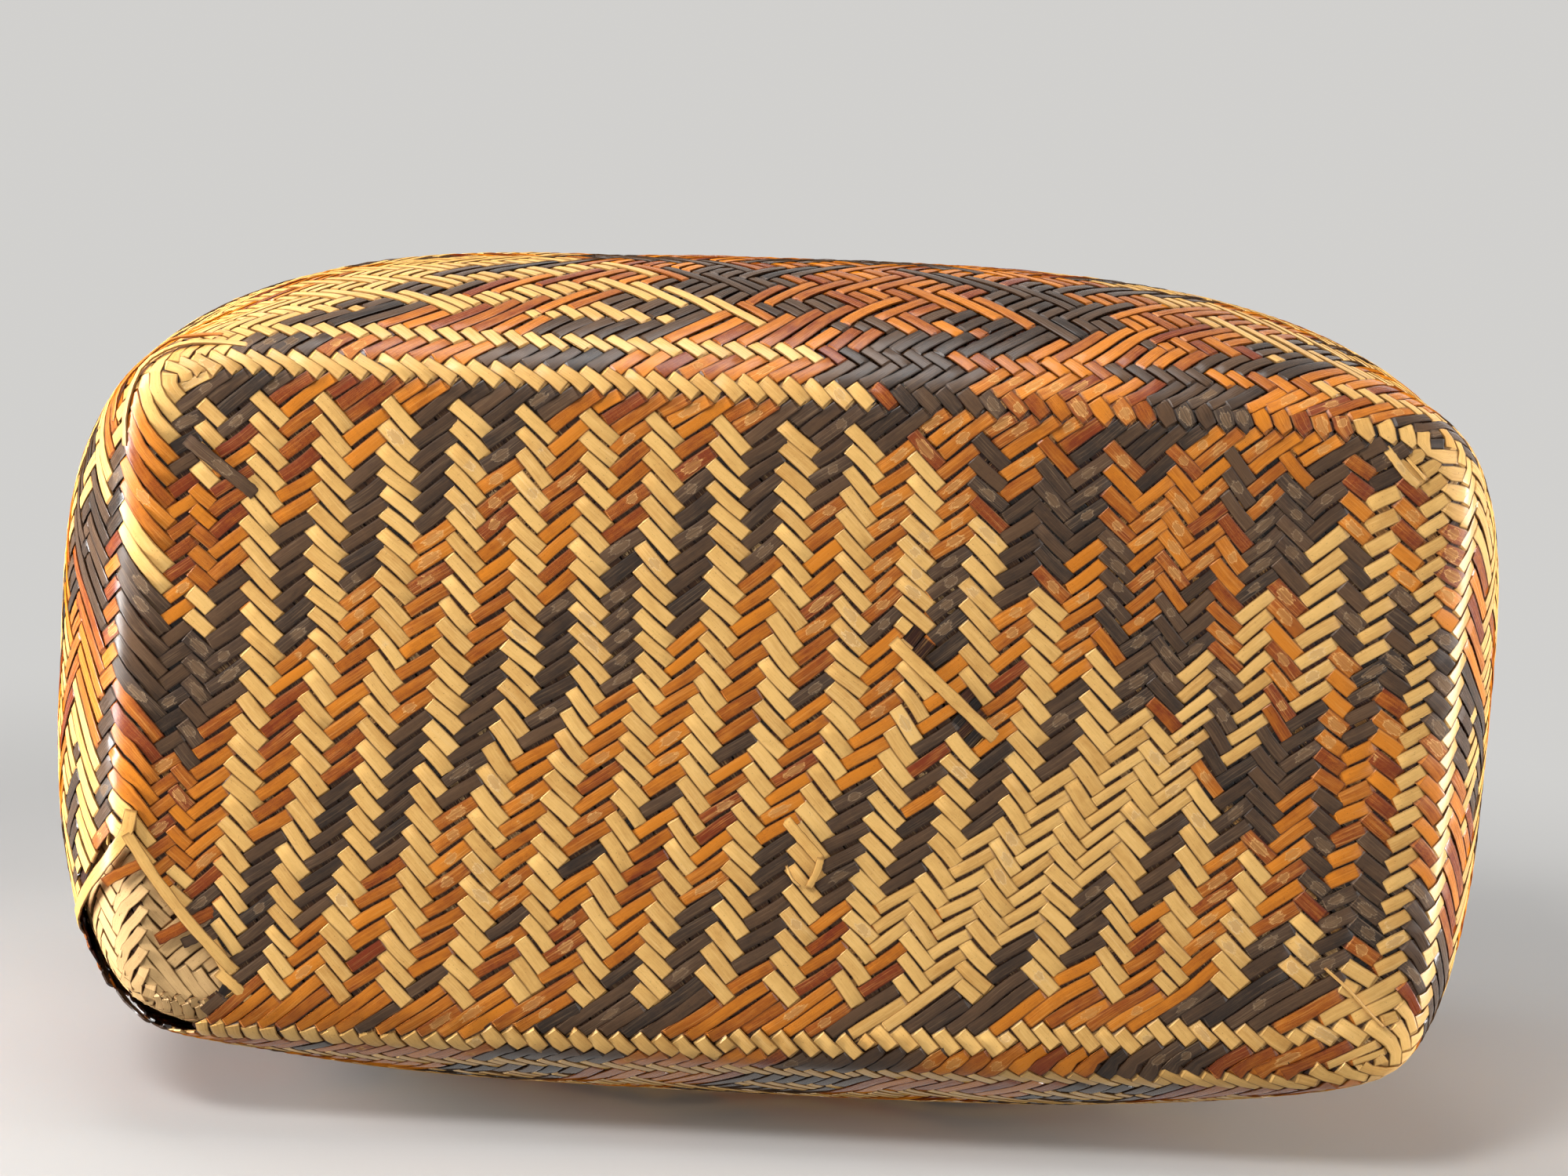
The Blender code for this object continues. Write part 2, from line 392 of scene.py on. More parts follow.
def unit(vectors):
    """Vectors of length one that point the same way."""
    return vectors / np.maximum(np.linalg.norm(vectors, axis=-1, keepdims=True), 1e-12)


def wall_place(form, q, w):
    """Places on the wall, and the outward normals from two short steps round and up."""
    scale = form["arc"][-1] / form["climb"]

    def at(q, w):
        """Places in space of steps round and up."""
        x, y = square_place(q, w)
        return stretched(form, x, y, w * scale)

    around = at(q + NUDGE, w) - at(q - NUDGE, w)
    up = at(q, np.clip(w + NUDGE, None, form["climb"])) - at(q, np.clip(w - NUDGE, 0, None))
    normal = unit(np.cross(around, up)) * form["direction"]
    flat = np.array([0.0, 0.0, -form["direction"]])
    turn = (0.5 + 0.5 * smooth(w))[..., None]
    return at(q, w), unit(flat * (1 - turn) + normal * turn)


def flat_place(form, u, v):
    """Places on the flat face, and normals that begin to turn half a step before its edge."""
    x, y = flat_square(u, v)
    here = stretched(form, x, y, np.zeros_like(x))
    flat = np.array([0.0, 0.0, -form["direction"]])
    gap = np.minimum((1 - np.abs(x)) * HALF_LONG, (1 - np.abs(y)) * HALF_WIDE)
    turn = (0.5 * smooth(1 - gap))[..., None]
    out_x = x * (np.abs(x) * HALF_LONG > HALF_LONG - 1)
    out_y = y * (np.abs(y) * HALF_WIDE > HALF_WIDE - 1)
    return here, unit(flat + unit(np.stack([out_x, out_y, np.zeros_like(x)], -1)) * turn)


def rippled(points, normals):
    """Small hand-made unevenness along the normal, always inwards.

    It is a sum of three slow waves, whose numbers are radians a metre.
    """
    x, y, z = points[..., 0], points[..., 1], points[..., 2]
    wave = np.sin(41 * x + 23 * z) + np.sin(37 * y - 31 * x) + np.sin(53 * z + 29 * y)
    return points + normals * (RIPPLE * (wave / 6 - 0.5))[..., None]


print("corner of the base", stretched(basket_form, np.ones(1), np.ones(1), np.zeros(1)).round(4))

# %% [markdown]
# ## The route of every cane
#
# Two families of canes cross on the slant. Seen from below, falling canes run down to the right
# and rising canes run up to the right. Each is one long cane: down one wall, across the base and
# up another wall. At every half step it crosses a cane of the other family, and it lies over or
# under that one by a rule. On the base three over and three under, moved on by one each row,
# gives the columns of a herringbone, and on the walls the same rule gives rows.

# %% Routes of the canes
FALLING, RISING = "falling", "rising"


def edge_steps(u, v):
    """The step round the walls at which a place on the base's edge lies."""
    return np.select(
        [v <= -HALF_WIDE, u >= HALF_LONG, v >= HALF_WIDE],
        [u + HALF_LONG + FIRST_CORNER,
         v + STEPS_LONG + HALF_WIDE + FIRST_CORNER,
         3 * HALF_LONG + STEPS_WIDE + FIRST_CORNER - u],
        STEPS_ROUND - HALF_WIDE + FIRST_CORNER - v,
    )


def cane_ends(family):
    """For each cane of a family: where it enters and leaves the base, and how it then climbs.

    A cane that meets a long side from the base slants one way up the wall, and the other way
    where it meets a short side, because the two walls turn its slant about their own edges.
    """
    last = (STEPS_LONG + STEPS_WIDE - 1) // 2
    number = np.arange(-last, last + 1)
    enter = np.maximum(-HALF_LONG, number - HALF_WIDE)
    leave = np.minimum(HALF_LONG, number + HALF_WIDE)
    slant = 1 if family == FALLING else -1
    ends = dict(number=number, enter=enter, leave=leave, slant=slant)
    for name, u in (("first", enter), ("last", leave)):
        v = slant * (u - number)
        on_long = np.abs(v) >= HALF_WIDE
        ends[name] = edge_steps(u, v)
        ends[name + "_way"] = np.where(on_long, -slant, slant)
    return ends


def along_cane(ends, cane, crossing, climb):
    """Places on the cane, counted in crossings from its first end: on which part, u, v, q and w."""
    enter = ends["enter"][cane]
    wide = 2 * (ends["leave"][cane] - enter)
    before = crossing <= 2 * climb
    after = crossing >= 2 * climb + wide
    w = np.where(before, climb - crossing / 2, (crossing - 2 * climb - wide) / 2)
    q = np.where(before, ends["first"][cane] + ends["first_way"][cane] * w,
                 ends["last"][cane] + ends["last_way"][cane] * w)
    u = enter + crossing / 2 - climb
    v = ends["slant"] * (u - ends["number"][cane])
    left_climbing = np.where(before, ends["first_way"][cane], ends["last_way"][cane]) < 0
    return before, after, u, v, q, np.maximum(w, 0), left_climbing


COLUMN_STEPS = 3
FLOAT_STEPS = 1.5
COLUMN_START = 0.25
LEFT_END_ROWS = (1.25, 2.25, 3.25)
RIGHT_END_ROWS = (0.25, 1.25, 2.25, 3.25)
FRONT_EDGE_ROW = 1.3
SHORTEST_FLOAT = 0.9
BACK_DRIFT_PLACES = (-30.0, -3.0, 30.0)
BACK_DRIFT = (-0.9, 0.0, 2.5)
BACK_EDGE_ROWS = (-1.75, -0.25, 0.75, 2.25)


def rising_on_top(u, v):
    """The base's herringbone: columns three half steps wide in which rising canes lie on top.

    Narrower columns end it on the left and the right. Along the front edge a row of rising canes
    lies on top throughout, and the rows along the back edge drift inwards towards the right. A
    falling float that would show for one crossing only, beside those rows, is turned under.
    """
    from_left = u + HALF_LONG
    from_right = HALF_LONG - u
    along_column = (from_left - COLUMN_START) % COLUMN_STEPS
    rising = along_column < FLOAT_STEPS
    left_end = np.searchsorted(LEFT_END_ROWS, from_left, side="right")
    rising = np.where(left_end < len(LEFT_END_ROWS), left_end == 1, rising)
    right_end = np.searchsorted(RIGHT_END_ROWS, from_right, side="right")
    rising = np.where(right_end < len(RIGHT_END_ROWS), right_end % 2 == 1, rising)
    inside = (left_end > 0) & (right_end > 0)
    begun = along_column - FLOAT_STEPS
    from_front = v + HALF_WIDE
    rising = rising | (inside & (from_front < FRONT_EDGE_ROW))
    rising = rising | (inside & (from_front + FLOAT_STEPS - begun < FRONT_EDGE_ROW + SHORTEST_FLOAT))
    depth = np.interp(u, BACK_DRIFT_PLACES, BACK_DRIFT) - HALF_WIDE + v
    rising = rising | (inside & (begun > 0) & (depth - begun > BACK_EDGE_ROWS[0] - SHORTEST_FLOAT))
    back_row = np.searchsorted(BACK_EDGE_ROWS, depth, side="right")
    return np.where(inside & (back_row > 0), back_row % 2 == 1, rising)


ZIGZAG_PERIOD = 14
ZIGZAG_SLOPE = 0.4
LONG_WALL_ROWS = (-0.25, 0.75, 2.25, 3.25, 4.75)
WALL_ROWS = (LONG_WALL_ROWS, (0.75, 1.75, 3.25), LONG_WALL_ROWS, (1.25, 2.25, 4.25))
BACK_WALL = 2


def left_on_top(q, w):
    """The walls' rule: plain rows near the base, then the rows run up and down as a zigzag.

    Each wall has its own heights at which the rows change, as each begins on a different edge of
    the base. Left-climbing canes lie on top in every second row.
    """
    swing = np.abs((q / ZIGZAG_PERIOD) % 1 - 0.5) * ZIGZAG_PERIOD * ZIGZAG_SLOPE
    side = np.searchsorted(SIDE_STARTS[1:], (q - FIRST_CORNER) % STEPS_ROUND, side="right")
    back_u = 3 * HALF_LONG + STEPS_WIDE + FIRST_CORNER - q
    on_top = np.zeros(np.shape(q), bool)
    for number, rows in enumerate(WALL_ROWS):
        rise = w + np.interp(back_u, BACK_DRIFT_PLACES, BACK_DRIFT) if number == BACK_WALL else w
        row = np.searchsorted(rows, rise, side="right")
        zigzag = (rise - rows[-1] + swing) % COLUMN_STEPS < FLOAT_STEPS
        here = np.where(row == len(rows), zigzag, row % 2 == 1)
        on_top = np.where(side == number, here, on_top)
    return on_top


print("canes in a family", len(cane_ends(RISING)["number"]))

# %% [markdown]
# ## Strips that go over and under
#
# A cane is a flat strip with a slightly domed face. Its section of five points is carried along
# the route and lifted along the surface's normal where it lies over, and lowered where it lies
# under. Where it changes from one to the other it gets three sections close together, and
# elsewhere one between crossings, which keeps thirty thousand crossings affordable. Chance comes
# from a formula on whole numbers instead of a generator, so a cane looks the same in every run.

# %% Carry a section along the canes
BASE_WIDTH_SHARES = {FALLING: 0.95, RISING: 0.90}
WALL_WIDTH_SHARE = 0.84
HIGH_WALL_SHARE = 0.72
WIDEST_CANE = 5.3 * MILLIMETRE
CANE_THICKNESS = 0.55 * MILLIMETRE
CROWN = 0.16 * MILLIMETRE
WEAVE_HEIGHT = 0.33 * MILLIMETRE
ARCH = 0.10 * MILLIMETRE
FLATTENED = {FALLING: 0.3 * MILLIMETRE, RISING: -0.65 * MILLIMETRE}
FLATTENED_STEPS = 1.5
FLIP_SHARES = (0.39, 0.50, 0.61)
FOLD_ANGLE = math.radians(24)
STRIP_GAP = 10 * MILLIMETRE
DOMED_SECTION = np.array([(-1, 0, 0), (-1, 1, 0), (0, 1, 1), (1, 1, 0), (1, 0, 0)], float)
FLAT_SECTION = np.array([(-1, 0, 0), (-1, 1, 0), (1, 1, 0), (1, 0, 0)], float)
NUMBER_TURN = 12.9898
SEED_TURN = 78.233
SCATTER_STRETCH = 43758.5453
LIFT_SEED, FLOAT_SEED, SPLICE_SEED, WEAR_SEED, WIDTH_SEED = 1, 2, 3, 4, 5
SWAY_SEED, SHIFT_SEED, TEAR_SEED, SCUFF_SEED = 6, 7, 8, 9
CANE_SEEDS = {FALLING: 11, RISING: 12}


def scatter(number, seed):
    """A repeatable random number from 0 to 1 for each whole number: a stretched sine's fraction."""
    return np.abs(np.sin(number * NUMBER_TURN + seed * SEED_TURN) * SCATTER_STRETCH) % 1


def uneven(least, spread, chance):
    """A value from the least upwards: a chance from 0 to 1 times the spread is added."""
    return least + spread * chance


def tangents(points, strip):
    """Directions along each strip: from the point before to the point after on the same strip."""
    before = np.roll(points, 1, axis=0)
    after = np.roll(points, -1, axis=0)
    first = (strip != np.roll(strip, 1))[:, None]
    last = (strip != np.roll(strip, -1))[:, None]
    return unit(np.where(last, points, after) - np.where(first, points, before))


def strip_mesh(name, points, normals, strip, half_width, section):
    """Strips as a mesh, the sections that their faces start from, and each strip's first and last.

    A section's places are shares: of the half width across, of the thickness, and of the crown.
    """
    across = unit(np.cross(normals, tangents(points, strip)))
    sides = section[None, :, 0, None] * half_width[:, None, None] * across[:, None, :]
    rise = (section[:, 1] * CANE_THICKNESS - CANE_THICKNESS / 2 + section[:, 2] * CROWN)[None, :, None]
    places = points[:, None, :] + sides + rise * normals[:, None, :]
    count = len(section)
    corner = np.arange(count)
    after = (corner + 1) % count
    joined = strip[:-1] == strip[1:]
    begins = np.nonzero(joined)[0]
    near = begins[:, None] * count
    far = near + count
    quads = np.stack([near + corner, far + corner, far + after, near + after], -1).reshape(-1, 4)
    first = np.nonzero(np.concatenate([[True], ~joined]))[0]
    last = np.nonzero(np.concatenate([~joined, [True]]))[0]
    ends = np.concatenate([first[:, None] * count + corner, last[:, None] * count + corner[::-1]])
    return mesh_from_arrays(name, places.reshape(-1, 3), quads, ends), begins, first, last


MAP_GAP = 4 * MILLIMETRE
MAP_GIRTH_SHARE = 2.6
MAP_MARGIN_SHARE = 0.0001
SIDE_SHARE, FACE_SHARE, FACE_END_SHARE, BACK_SHARE, BACK_END_SHARE = 0.05, 0.14, 0.86, 0.94, 0.98
ROW_START_SHARE, ROW_STOP_SHARE, ROW_END_SHARE = 0.0005, 0.9995, 0.9999
TIP_SHARE, TIP_SIZE_SHARE = 0.02, 0.0002


def lay_cane_map(mesh, points, strip, half_width, begins, first, last, section):
    """A UV map in which the strips lie flat one after another, cut into rows of equal length."""
    stride = np.linalg.norm(np.diff(points, axis=0), axis=1)
    stride = np.where(strip[1:] == strip[:-1], stride, MAP_GAP)
    along = np.concatenate([[0], np.cumsum(stride)])
    girth = MAP_GIRTH_SHARE * float(half_width.mean())
    rows = max(1, math.ceil(math.sqrt(along[-1] / girth)))
    row_length = along[-1] / rows * (1 + MAP_MARGIN_SHARE)
    row = np.floor(along[begins] / row_length)
    start = (along[begins] - row * row_length) / row_length
    stop = start + stride[begins] / row_length
    face = np.linspace(FACE_SHARE, FACE_END_SHARE, len(section) - 2)
    rise = np.concatenate([[SIDE_SHARE], face, [BACK_SHARE, BACK_END_SHARE]])
    low = (row[:, None] + rise[None, :-1]) / rows
    high = (row[:, None] + rise[None, 1:]) / rows
    start = np.broadcast_to(np.minimum(start, ROW_STOP_SHARE)[:, None], low.shape)
    stop = np.broadcast_to(np.minimum(stop, ROW_END_SHARE)[:, None], low.shape)
    quads = np.stack([start, low, stop, low, stop, high, start, high], -1)
    tips = np.concatenate([first, last])
    tip_row = np.clip(np.floor(along[tips] / row_length), 0, rows - 1)
    tip_u = np.clip(along[tips] / row_length - tip_row, ROW_START_SHARE, ROW_STOP_SHARE)
    shape = (section[:, :2] + np.array([1.0, 0.0])) * TIP_SIZE_SHARE
    ends = np.stack([tip_u, (tip_row + TIP_SHARE) / rows], -1)[:, None, :] + shape
    corners = np.concatenate([quads.ravel(), ends.ravel()])
    mesh.uv_layers.new(name="OFBake").data.foreach_set("uv", corners.astype(np.float32))


def way_along(points, strip):
    """The way along the canes to each section, with a gap between one strip and the next."""
    stride = np.linalg.norm(np.diff(points, axis=0), axis=1)
    return np.concatenate([[0], np.cumsum(np.where(strip[1:] == strip[:-1], stride, STRIP_GAP))])


print("a section has", len(DOMED_SECTION), "points")

# %% [markdown]
# ## Which canes are dyed
#
# The dyer used two baths, a brown black from walnut and an orange red from bloodroot, and left
# the rest the colour of straw. Canes of one colour lie side by side in groups, so a colour is
# given to runs of cane numbers. Where a cane ran out, another was slipped in beside it, often of
# a different colour, so some canes change colour on their way across the base. A texture could
# paint all this, but then the colours would not follow the canes over and under each other.

# %% Colours of the canes by number
STRAW, WALNUT, BLOODROOT = 0, 1, 2
FIRST_NUMBER = -45


def run_colours(runs):
    """One colour for each cane from runs of (colour, how many canes)."""
    return np.concatenate([np.full(count, colour) for colour, count in runs])


FALLING_RUNS = ((STRAW, 64), (BLOODROOT, 1), (WALNUT, 5), (BLOODROOT, 7), (WALNUT, 5), (BLOODROOT, 5),
                (STRAW, 4))
FALLING_LEFT_RUNS = ((STRAW, 10), (BLOODROOT, 5), (WALNUT, 6), (STRAW, 2), (BLOODROOT, 5), (STRAW, 63))
RISING_FIRST_RUNS = ((STRAW, 3), (WALNUT, 4), (BLOODROOT, 7), (WALNUT, 6), (BLOODROOT, 9), (WALNUT, 7),
                     (BLOODROOT, 8))
RISING_RUNS = (*RISING_FIRST_RUNS, (WALNUT, 1), (BLOODROOT, 7), (WALNUT, 6), (BLOODROOT, 7), (WALNUT, 6),
               (BLOODROOT, 8), (WALNUT, 5), (BLOODROOT, 7))
RISING_RIGHT_RUNS = (*RISING_FIRST_RUNS, (WALNUT, 5), (BLOODROOT, 7), (WALNUT, 4), (STRAW, 8), (WALNUT, 4),
                     (BLOODROOT, 7), (WALNUT, 5), (BLOODROOT, 7))
LEFT_SPLICE = -26
RIGHT_SPLICE = 7
SPLICE_REACH = 5
EDGE_SPLICE = 28.3
EDGE_SPLICE_NUMBER = 14


def basket_dye(family, number, u, on_base):
    """The colour of each float of the basket's outer canes, from its number and where it lies."""
    index = number - FIRST_NUMBER
    jitter = SPLICE_REACH * (scatter(number, SPLICE_SEED) - 0.5)
    if family == FALLING:
        left = run_colours(FALLING_LEFT_RUNS)[index]
        plain = run_colours(FALLING_RUNS)[index]
        return np.where((u < LEFT_SPLICE + jitter / 2) & (left != STRAW), left, plain)
    low = run_colours(RISING_RUNS)[index]
    high = run_colours(RISING_RIGHT_RUNS)[index]
    high = np.where((u > EDGE_SPLICE) & (on_base | (number > EDGE_SPLICE_NUMBER)), STRAW, high)
    return np.where(u > RIGHT_SPLICE + jitter, high, low)


for runs in (FALLING_RUNS, FALLING_LEFT_RUNS, RISING_RUNS, RISING_RIGHT_RUNS):
    print("canes coloured", len(run_colours(runs)))

# %% [markdown]
# ## The skin of split cane
#
# River cane keeps its hard glossy skin on one side. Fine fibres run along it, and its tone differs a
# little from cane to cane. Its colour is also darkened along each cane's edges and towards the ends
# of each float, and much more where a cane lies under others: painted shade for the shadow in the
# gaps. Where it has been rubbed the gloss goes first, then the dye. On the base the crowns are worn
# through in small ovals with a pale rim. A painted texture would need one picture for every cane, so
# the pattern is worked out from each cane's own coordinates: how far along it, how far across, and
# how far from the middle of the float.


# %% Node group for the skin of a cane
NOISE_ROUGHNESS = 0.65


def scaled(tree, vector, factors):
    """A vector with each part multiplied by its own factor."""
    return add_node(tree, "ShaderNodeVectorMath", links={0: vector}, values={1: factors},
                    operation="MULTIPLY").outputs[0]


def noise_on(tree, vector, factors, detail):
    """Noise from 0 to 1 on a cane's coordinates, after each is stretched by its factor."""
    return add_node(tree, "ShaderNodeTexNoise", links={"Vector": scaled(tree, vector, factors)},
                    values={"Scale": 1.0, "Detail": detail, "Roughness": NOISE_ROUGHNESS}).outputs["Fac"]


def chance_from(tree, value, shift=0.0):
    """A random number from 0 to 1 that is the same wherever the value is the same."""
    return add_node(tree, "ShaderNodeTexWhiteNoise", links={"W": calculate(tree, "ADD", value, shift)},
                    noise_dimensions="1D").outputs["Value"]


def around_zero(tree, value, reach):
    """A value from 0 to 1 turned into one from minus half its reach to plus half its reach."""
    return calculate(tree, "MULTIPLY", calculate(tree, "SUBTRACT", value, 0.5), reach)


def product(tree, *values):
    """The product of sockets and plain numbers."""
    result = values[0]
    for value in values[1:]:
        result = calculate(tree, "MULTIPLY", result, value)
    return result


def total(tree, *values):
    """The sum of sockets and plain numbers."""
    result = values[0]
    for value in values[1:]:
        result = calculate(tree, "ADD", result, value)
    return result


FIBRES_OVER_CANE = (70.0, 5.5, 91.0)
BLOTCHES_OVER_CANE = (160.0, 0.8, 57.0)
LUMPS_OVER_CANE = (520.0, 2.4, 33.0)
SPECKS_OVER_CANE = (1500.0, 4.5, 17.0)
# Painted shade: the colour darkens towards each cane's edges and near the ends of each float, where it dives
# under its neighbour.
EDGE_SHADE = (0.80, 0.98)
EDGE_SHADE_SHARE = 0.85
SPECKS = (0.66, 0.76, 0.0, 0.5)
GRAIN_REACH = 0.9
MIDDLE_SHADE = 0.60
TUCKED_LENGTH = 1.0 * MILLIMETRE
SCUFF_HALF_LENGTH = 4.3 * MILLIMETRE
SCUFF_SHIFT = 3.2 * MILLIMETRE
SCUFF_HALF_WIDTH = 0.85
SCUFF_MIDDLE = (0.60, 0.72)
RIM_INNER = (0.62, 0.72)
RIM_OUTER = (0.76, 0.88)
SPOTTED_FROM_WEAR = (0.62, 0.70)
RIM_FIBRES = (0.40, 0.52, 0.25, 1.0)
BARED_FIBRES = (0.35, 0.65, 0.35, 0.8)
STREAK_FIBRES = (0.50, 0.72)
LUMP_REACH = 1.3
TUCKED_SHADE_SHARE, RIM_SHARE, STREAK_SHARE = 0.75, 0.9, 0.6
SMALLEST_SCUFF_SHARE, SCUFF_SPREAD_SHARE = 0.5, 0.6
WORN_ROUGHNESS, FIBRE_ROUGHNESS, SCUFF_ROUGHNESS = 0.35, 0.25, 0.2
FIBRE_HEIGHT, EDGE_HEIGHT, SCUFF_HEIGHT, RIM_HEIGHT = 0.4, -0.7, -0.5, 0.4
SHIFT_CHANCE, SIZE_CHANCE = 0.31, 0.77
# Tint for the painted shade at cane edges and float ends, and for the real dark specks.
SHADE_AND_SPECK_TINT = (0.34, 0.26, 0.20)
# Painted shade for the stretches of cane that lie under others, in the gaps.
PAINTED_GAP_SHADE = (0.07, 0.04, 0.025)
DULL = (0.66, 0.58, 0.50)


def skin_group():
    """Colour, roughness and height of split cane, from the cane's own coordinates.

    The scuffed oval's distance is the root of the squares of the shares of its two half lengths.
    """
    tree = bpy.data.node_groups.new("cane_skin", "ShaderNodeTree")
    for name, kind, default in (
        ("Pale", "NodeSocketColor", (0.7, 0.5, 0.25, 1.0)),
        ("Deep", "NodeSocketColor", (0.5, 0.3, 0.1, 1.0)),
        ("Rubbed", "NodeSocketColor", (0.6, 0.45, 0.3, 1.0)),
        ("Tone Spread", "NodeSocketFloat", 0.5),
        ("Gloss", "NodeSocketFloat", 0.3),
    ):
        socket = tree.interface.new_socket(name, in_out="INPUT", socket_type=kind)
        socket.default_value = default
    for name in ("Colour", "Roughness", "Height"):
        kind = "NodeSocketColor" if name == "Colour" else "NodeSocketFloat"
        tree.interface.new_socket(name, in_out="OUTPUT", socket_type=kind)
    given = tree.nodes.new("NodeGroupInput")
    result = tree.nodes.new("NodeGroupOutput")
    cane = add_node(tree, "ShaderNodeAttribute", attribute_name="cane_place").outputs["Vector"]
    spot = add_node(tree, "ShaderNodeAttribute", attribute_name="float_place").outputs["Vector"]
    worn = add_node(tree, "ShaderNodeAttribute", attribute_name="wear").outputs["Fac"]
    gap_shade = add_node(tree, "ShaderNodeAttribute", attribute_name="gap_shade").outputs["Fac"]
    across, own = add_node(tree, "ShaderNodeSeparateXYZ", links={0: cane}).outputs[1:]
    offset, reach, chance = add_node(tree, "ShaderNodeSeparateXYZ", links={0: spot}).outputs

    fibre = noise_on(tree, cane, FIBRES_OVER_CANE, 4.0)
    blotch = noise_on(tree, cane, BLOTCHES_OVER_CANE, 2.0)
    tones = [product(tree, chance_from(tree, value), 0.5) for value in (own, chance)]
    tone = product(tree, around_zero(tree, total(tree, *tones), 1.0), given.outputs["Tone Spread"])
    grain = total(tree, around_zero(tree, fibre, GRAIN_REACH), around_zero(tree, blotch, GRAIN_REACH))
    shade = calculate(tree, "ADD", total(tree, grain, tone), MIDDLE_SHADE, clamp=True)
    colour = mix_colours(tree, shade, given.outputs["Deep"], given.outputs["Pale"])

    specks = step_between(tree, noise_on(tree, cane, SPECKS_OVER_CANE, 1.0), *SPECKS)
    # Painted shade along the cane's edges and near the float's ends, where it dives under its neighbour,
    # mixed with real dark specks.
    edge = step_between(tree, calculate(tree, "ABSOLUTE", across), *EDGE_SHADE)
    left = calculate(tree, "SUBTRACT", reach, calculate(tree, "ABSOLUTE", offset))
    tucked_shade = step_between(tree, left, 0.0, TUCKED_LENGTH, TUCKED_SHADE_SHARE, 0.0)
    tucked_shade_or_specks = calculate(tree, "MAXIMUM", tucked_shade, specks)
    shade_and_specks = calculate(tree, "MAXIMUM", product(tree, edge, EDGE_SHADE_SHARE), tucked_shade_or_specks)
    colour = mix_colours(tree, shade_and_specks, colour, mix_colours(tree, 1.0, colour, SHADE_AND_SPECK_TINT, "MULTIPLY"))
    # Painted shade: stretches that lie under other canes are darkened almost to black.
    colour = mix_colours(tree, gap_shade, colour, mix_colours(tree, 1.0, colour, PAINTED_GAP_SHADE, "MULTIPLY"))

    shift = around_zero(tree, chance_from(tree, chance, SHIFT_CHANCE), SCUFF_SHIFT)
    spread = product(tree, chance_from(tree, chance, SIZE_CHANCE), SCUFF_SPREAD_SHARE)
    size = total(tree, spread, SMALLEST_SCUFF_SHARE)
    lumps = noise_on(tree, cane, LUMPS_OVER_CANE, 2.0)
    lengthways = calculate(tree, "DIVIDE", calculate(tree, "SUBTRACT", offset, shift),
                           product(tree, size, SCUFF_HALF_LENGTH))
    crossways = calculate(tree, "DIVIDE", across, SCUFF_HALF_WIDTH)
    squares = [calculate(tree, "POWER", calculate(tree, "ABSOLUTE", share), 2.0)
               for share in (lengthways, crossways)]
    oval = calculate(tree, "SQRT", total(tree, *squares))
    oval = total(tree, oval, around_zero(tree, lumps, LUMP_REACH))
    spotted = step_between(tree, worn, *SPOTTED_FROM_WEAR)
    inside = product(tree, step_between(tree, oval, *SCUFF_MIDDLE, 1.0, 0.0), spotted)
    rim = product(tree, step_between(tree, oval, *RIM_INNER), step_between(tree, oval, *RIM_OUTER, 1.0, 0.0),
                  step_between(tree, fibre, *RIM_FIBRES), spotted)
    dull = mix_colours(tree, 1.0, given.outputs["Rubbed"], DULL, "MULTIPLY")
    bared = product(tree, inside, step_between(tree, fibre, *BARED_FIBRES))
    colour = mix_colours(tree, bared, colour, dull)
    colour = mix_colours(tree, product(tree, rim, RIM_SHARE), colour, given.outputs["Rubbed"])
    streaks = product(tree, step_between(tree, fibre, *STREAK_FIBRES), worn, STREAK_SHARE)
    colour = mix_colours(tree, streaks, colour, given.outputs["Rubbed"])

    rough = total(tree, given.outputs["Gloss"], product(tree, worn, WORN_ROUGHNESS),
                  around_zero(tree, fibre, FIBRE_ROUGHNESS))
    rough = calculate(tree, "ADD", rough, product(tree, inside, SCUFF_ROUGHNESS), clamp=True)
    heights = ((fibre, FIBRE_HEIGHT), (edge, EDGE_HEIGHT), (inside, SCUFF_HEIGHT), (rim, RIM_HEIGHT))
    height = total(tree, *(product(tree, part, strength) for part, strength in heights))
    for name, socket in (("Colour", colour), ("Roughness", rough), ("Height", height)):
        tree.links.new(socket, result.inputs[name])
    return tree


SKIN = skin_group()
print("skin group nodes", len(SKIN.nodes))

# %% [markdown]
# One material for each dye, all from the same group. The strength of the bump is small, because
# the strips themselves carry the relief and the bump only has to roughen the fibres. The shine
# fades where a cane is seen almost edge on, or the pale backdrop would bleach the outermost rims.

# %% Materials for straw, walnut, bloodroot and the plain inner cane
RIM_STARTS, RIM_ENDS, RIM_SHINE = 0.65, 0.84, 0.0
FACING_BLEND = 0.5
BUMP_SHARE = 0.6
BUMP_HEIGHT = 0.12 * MILLIMETRE


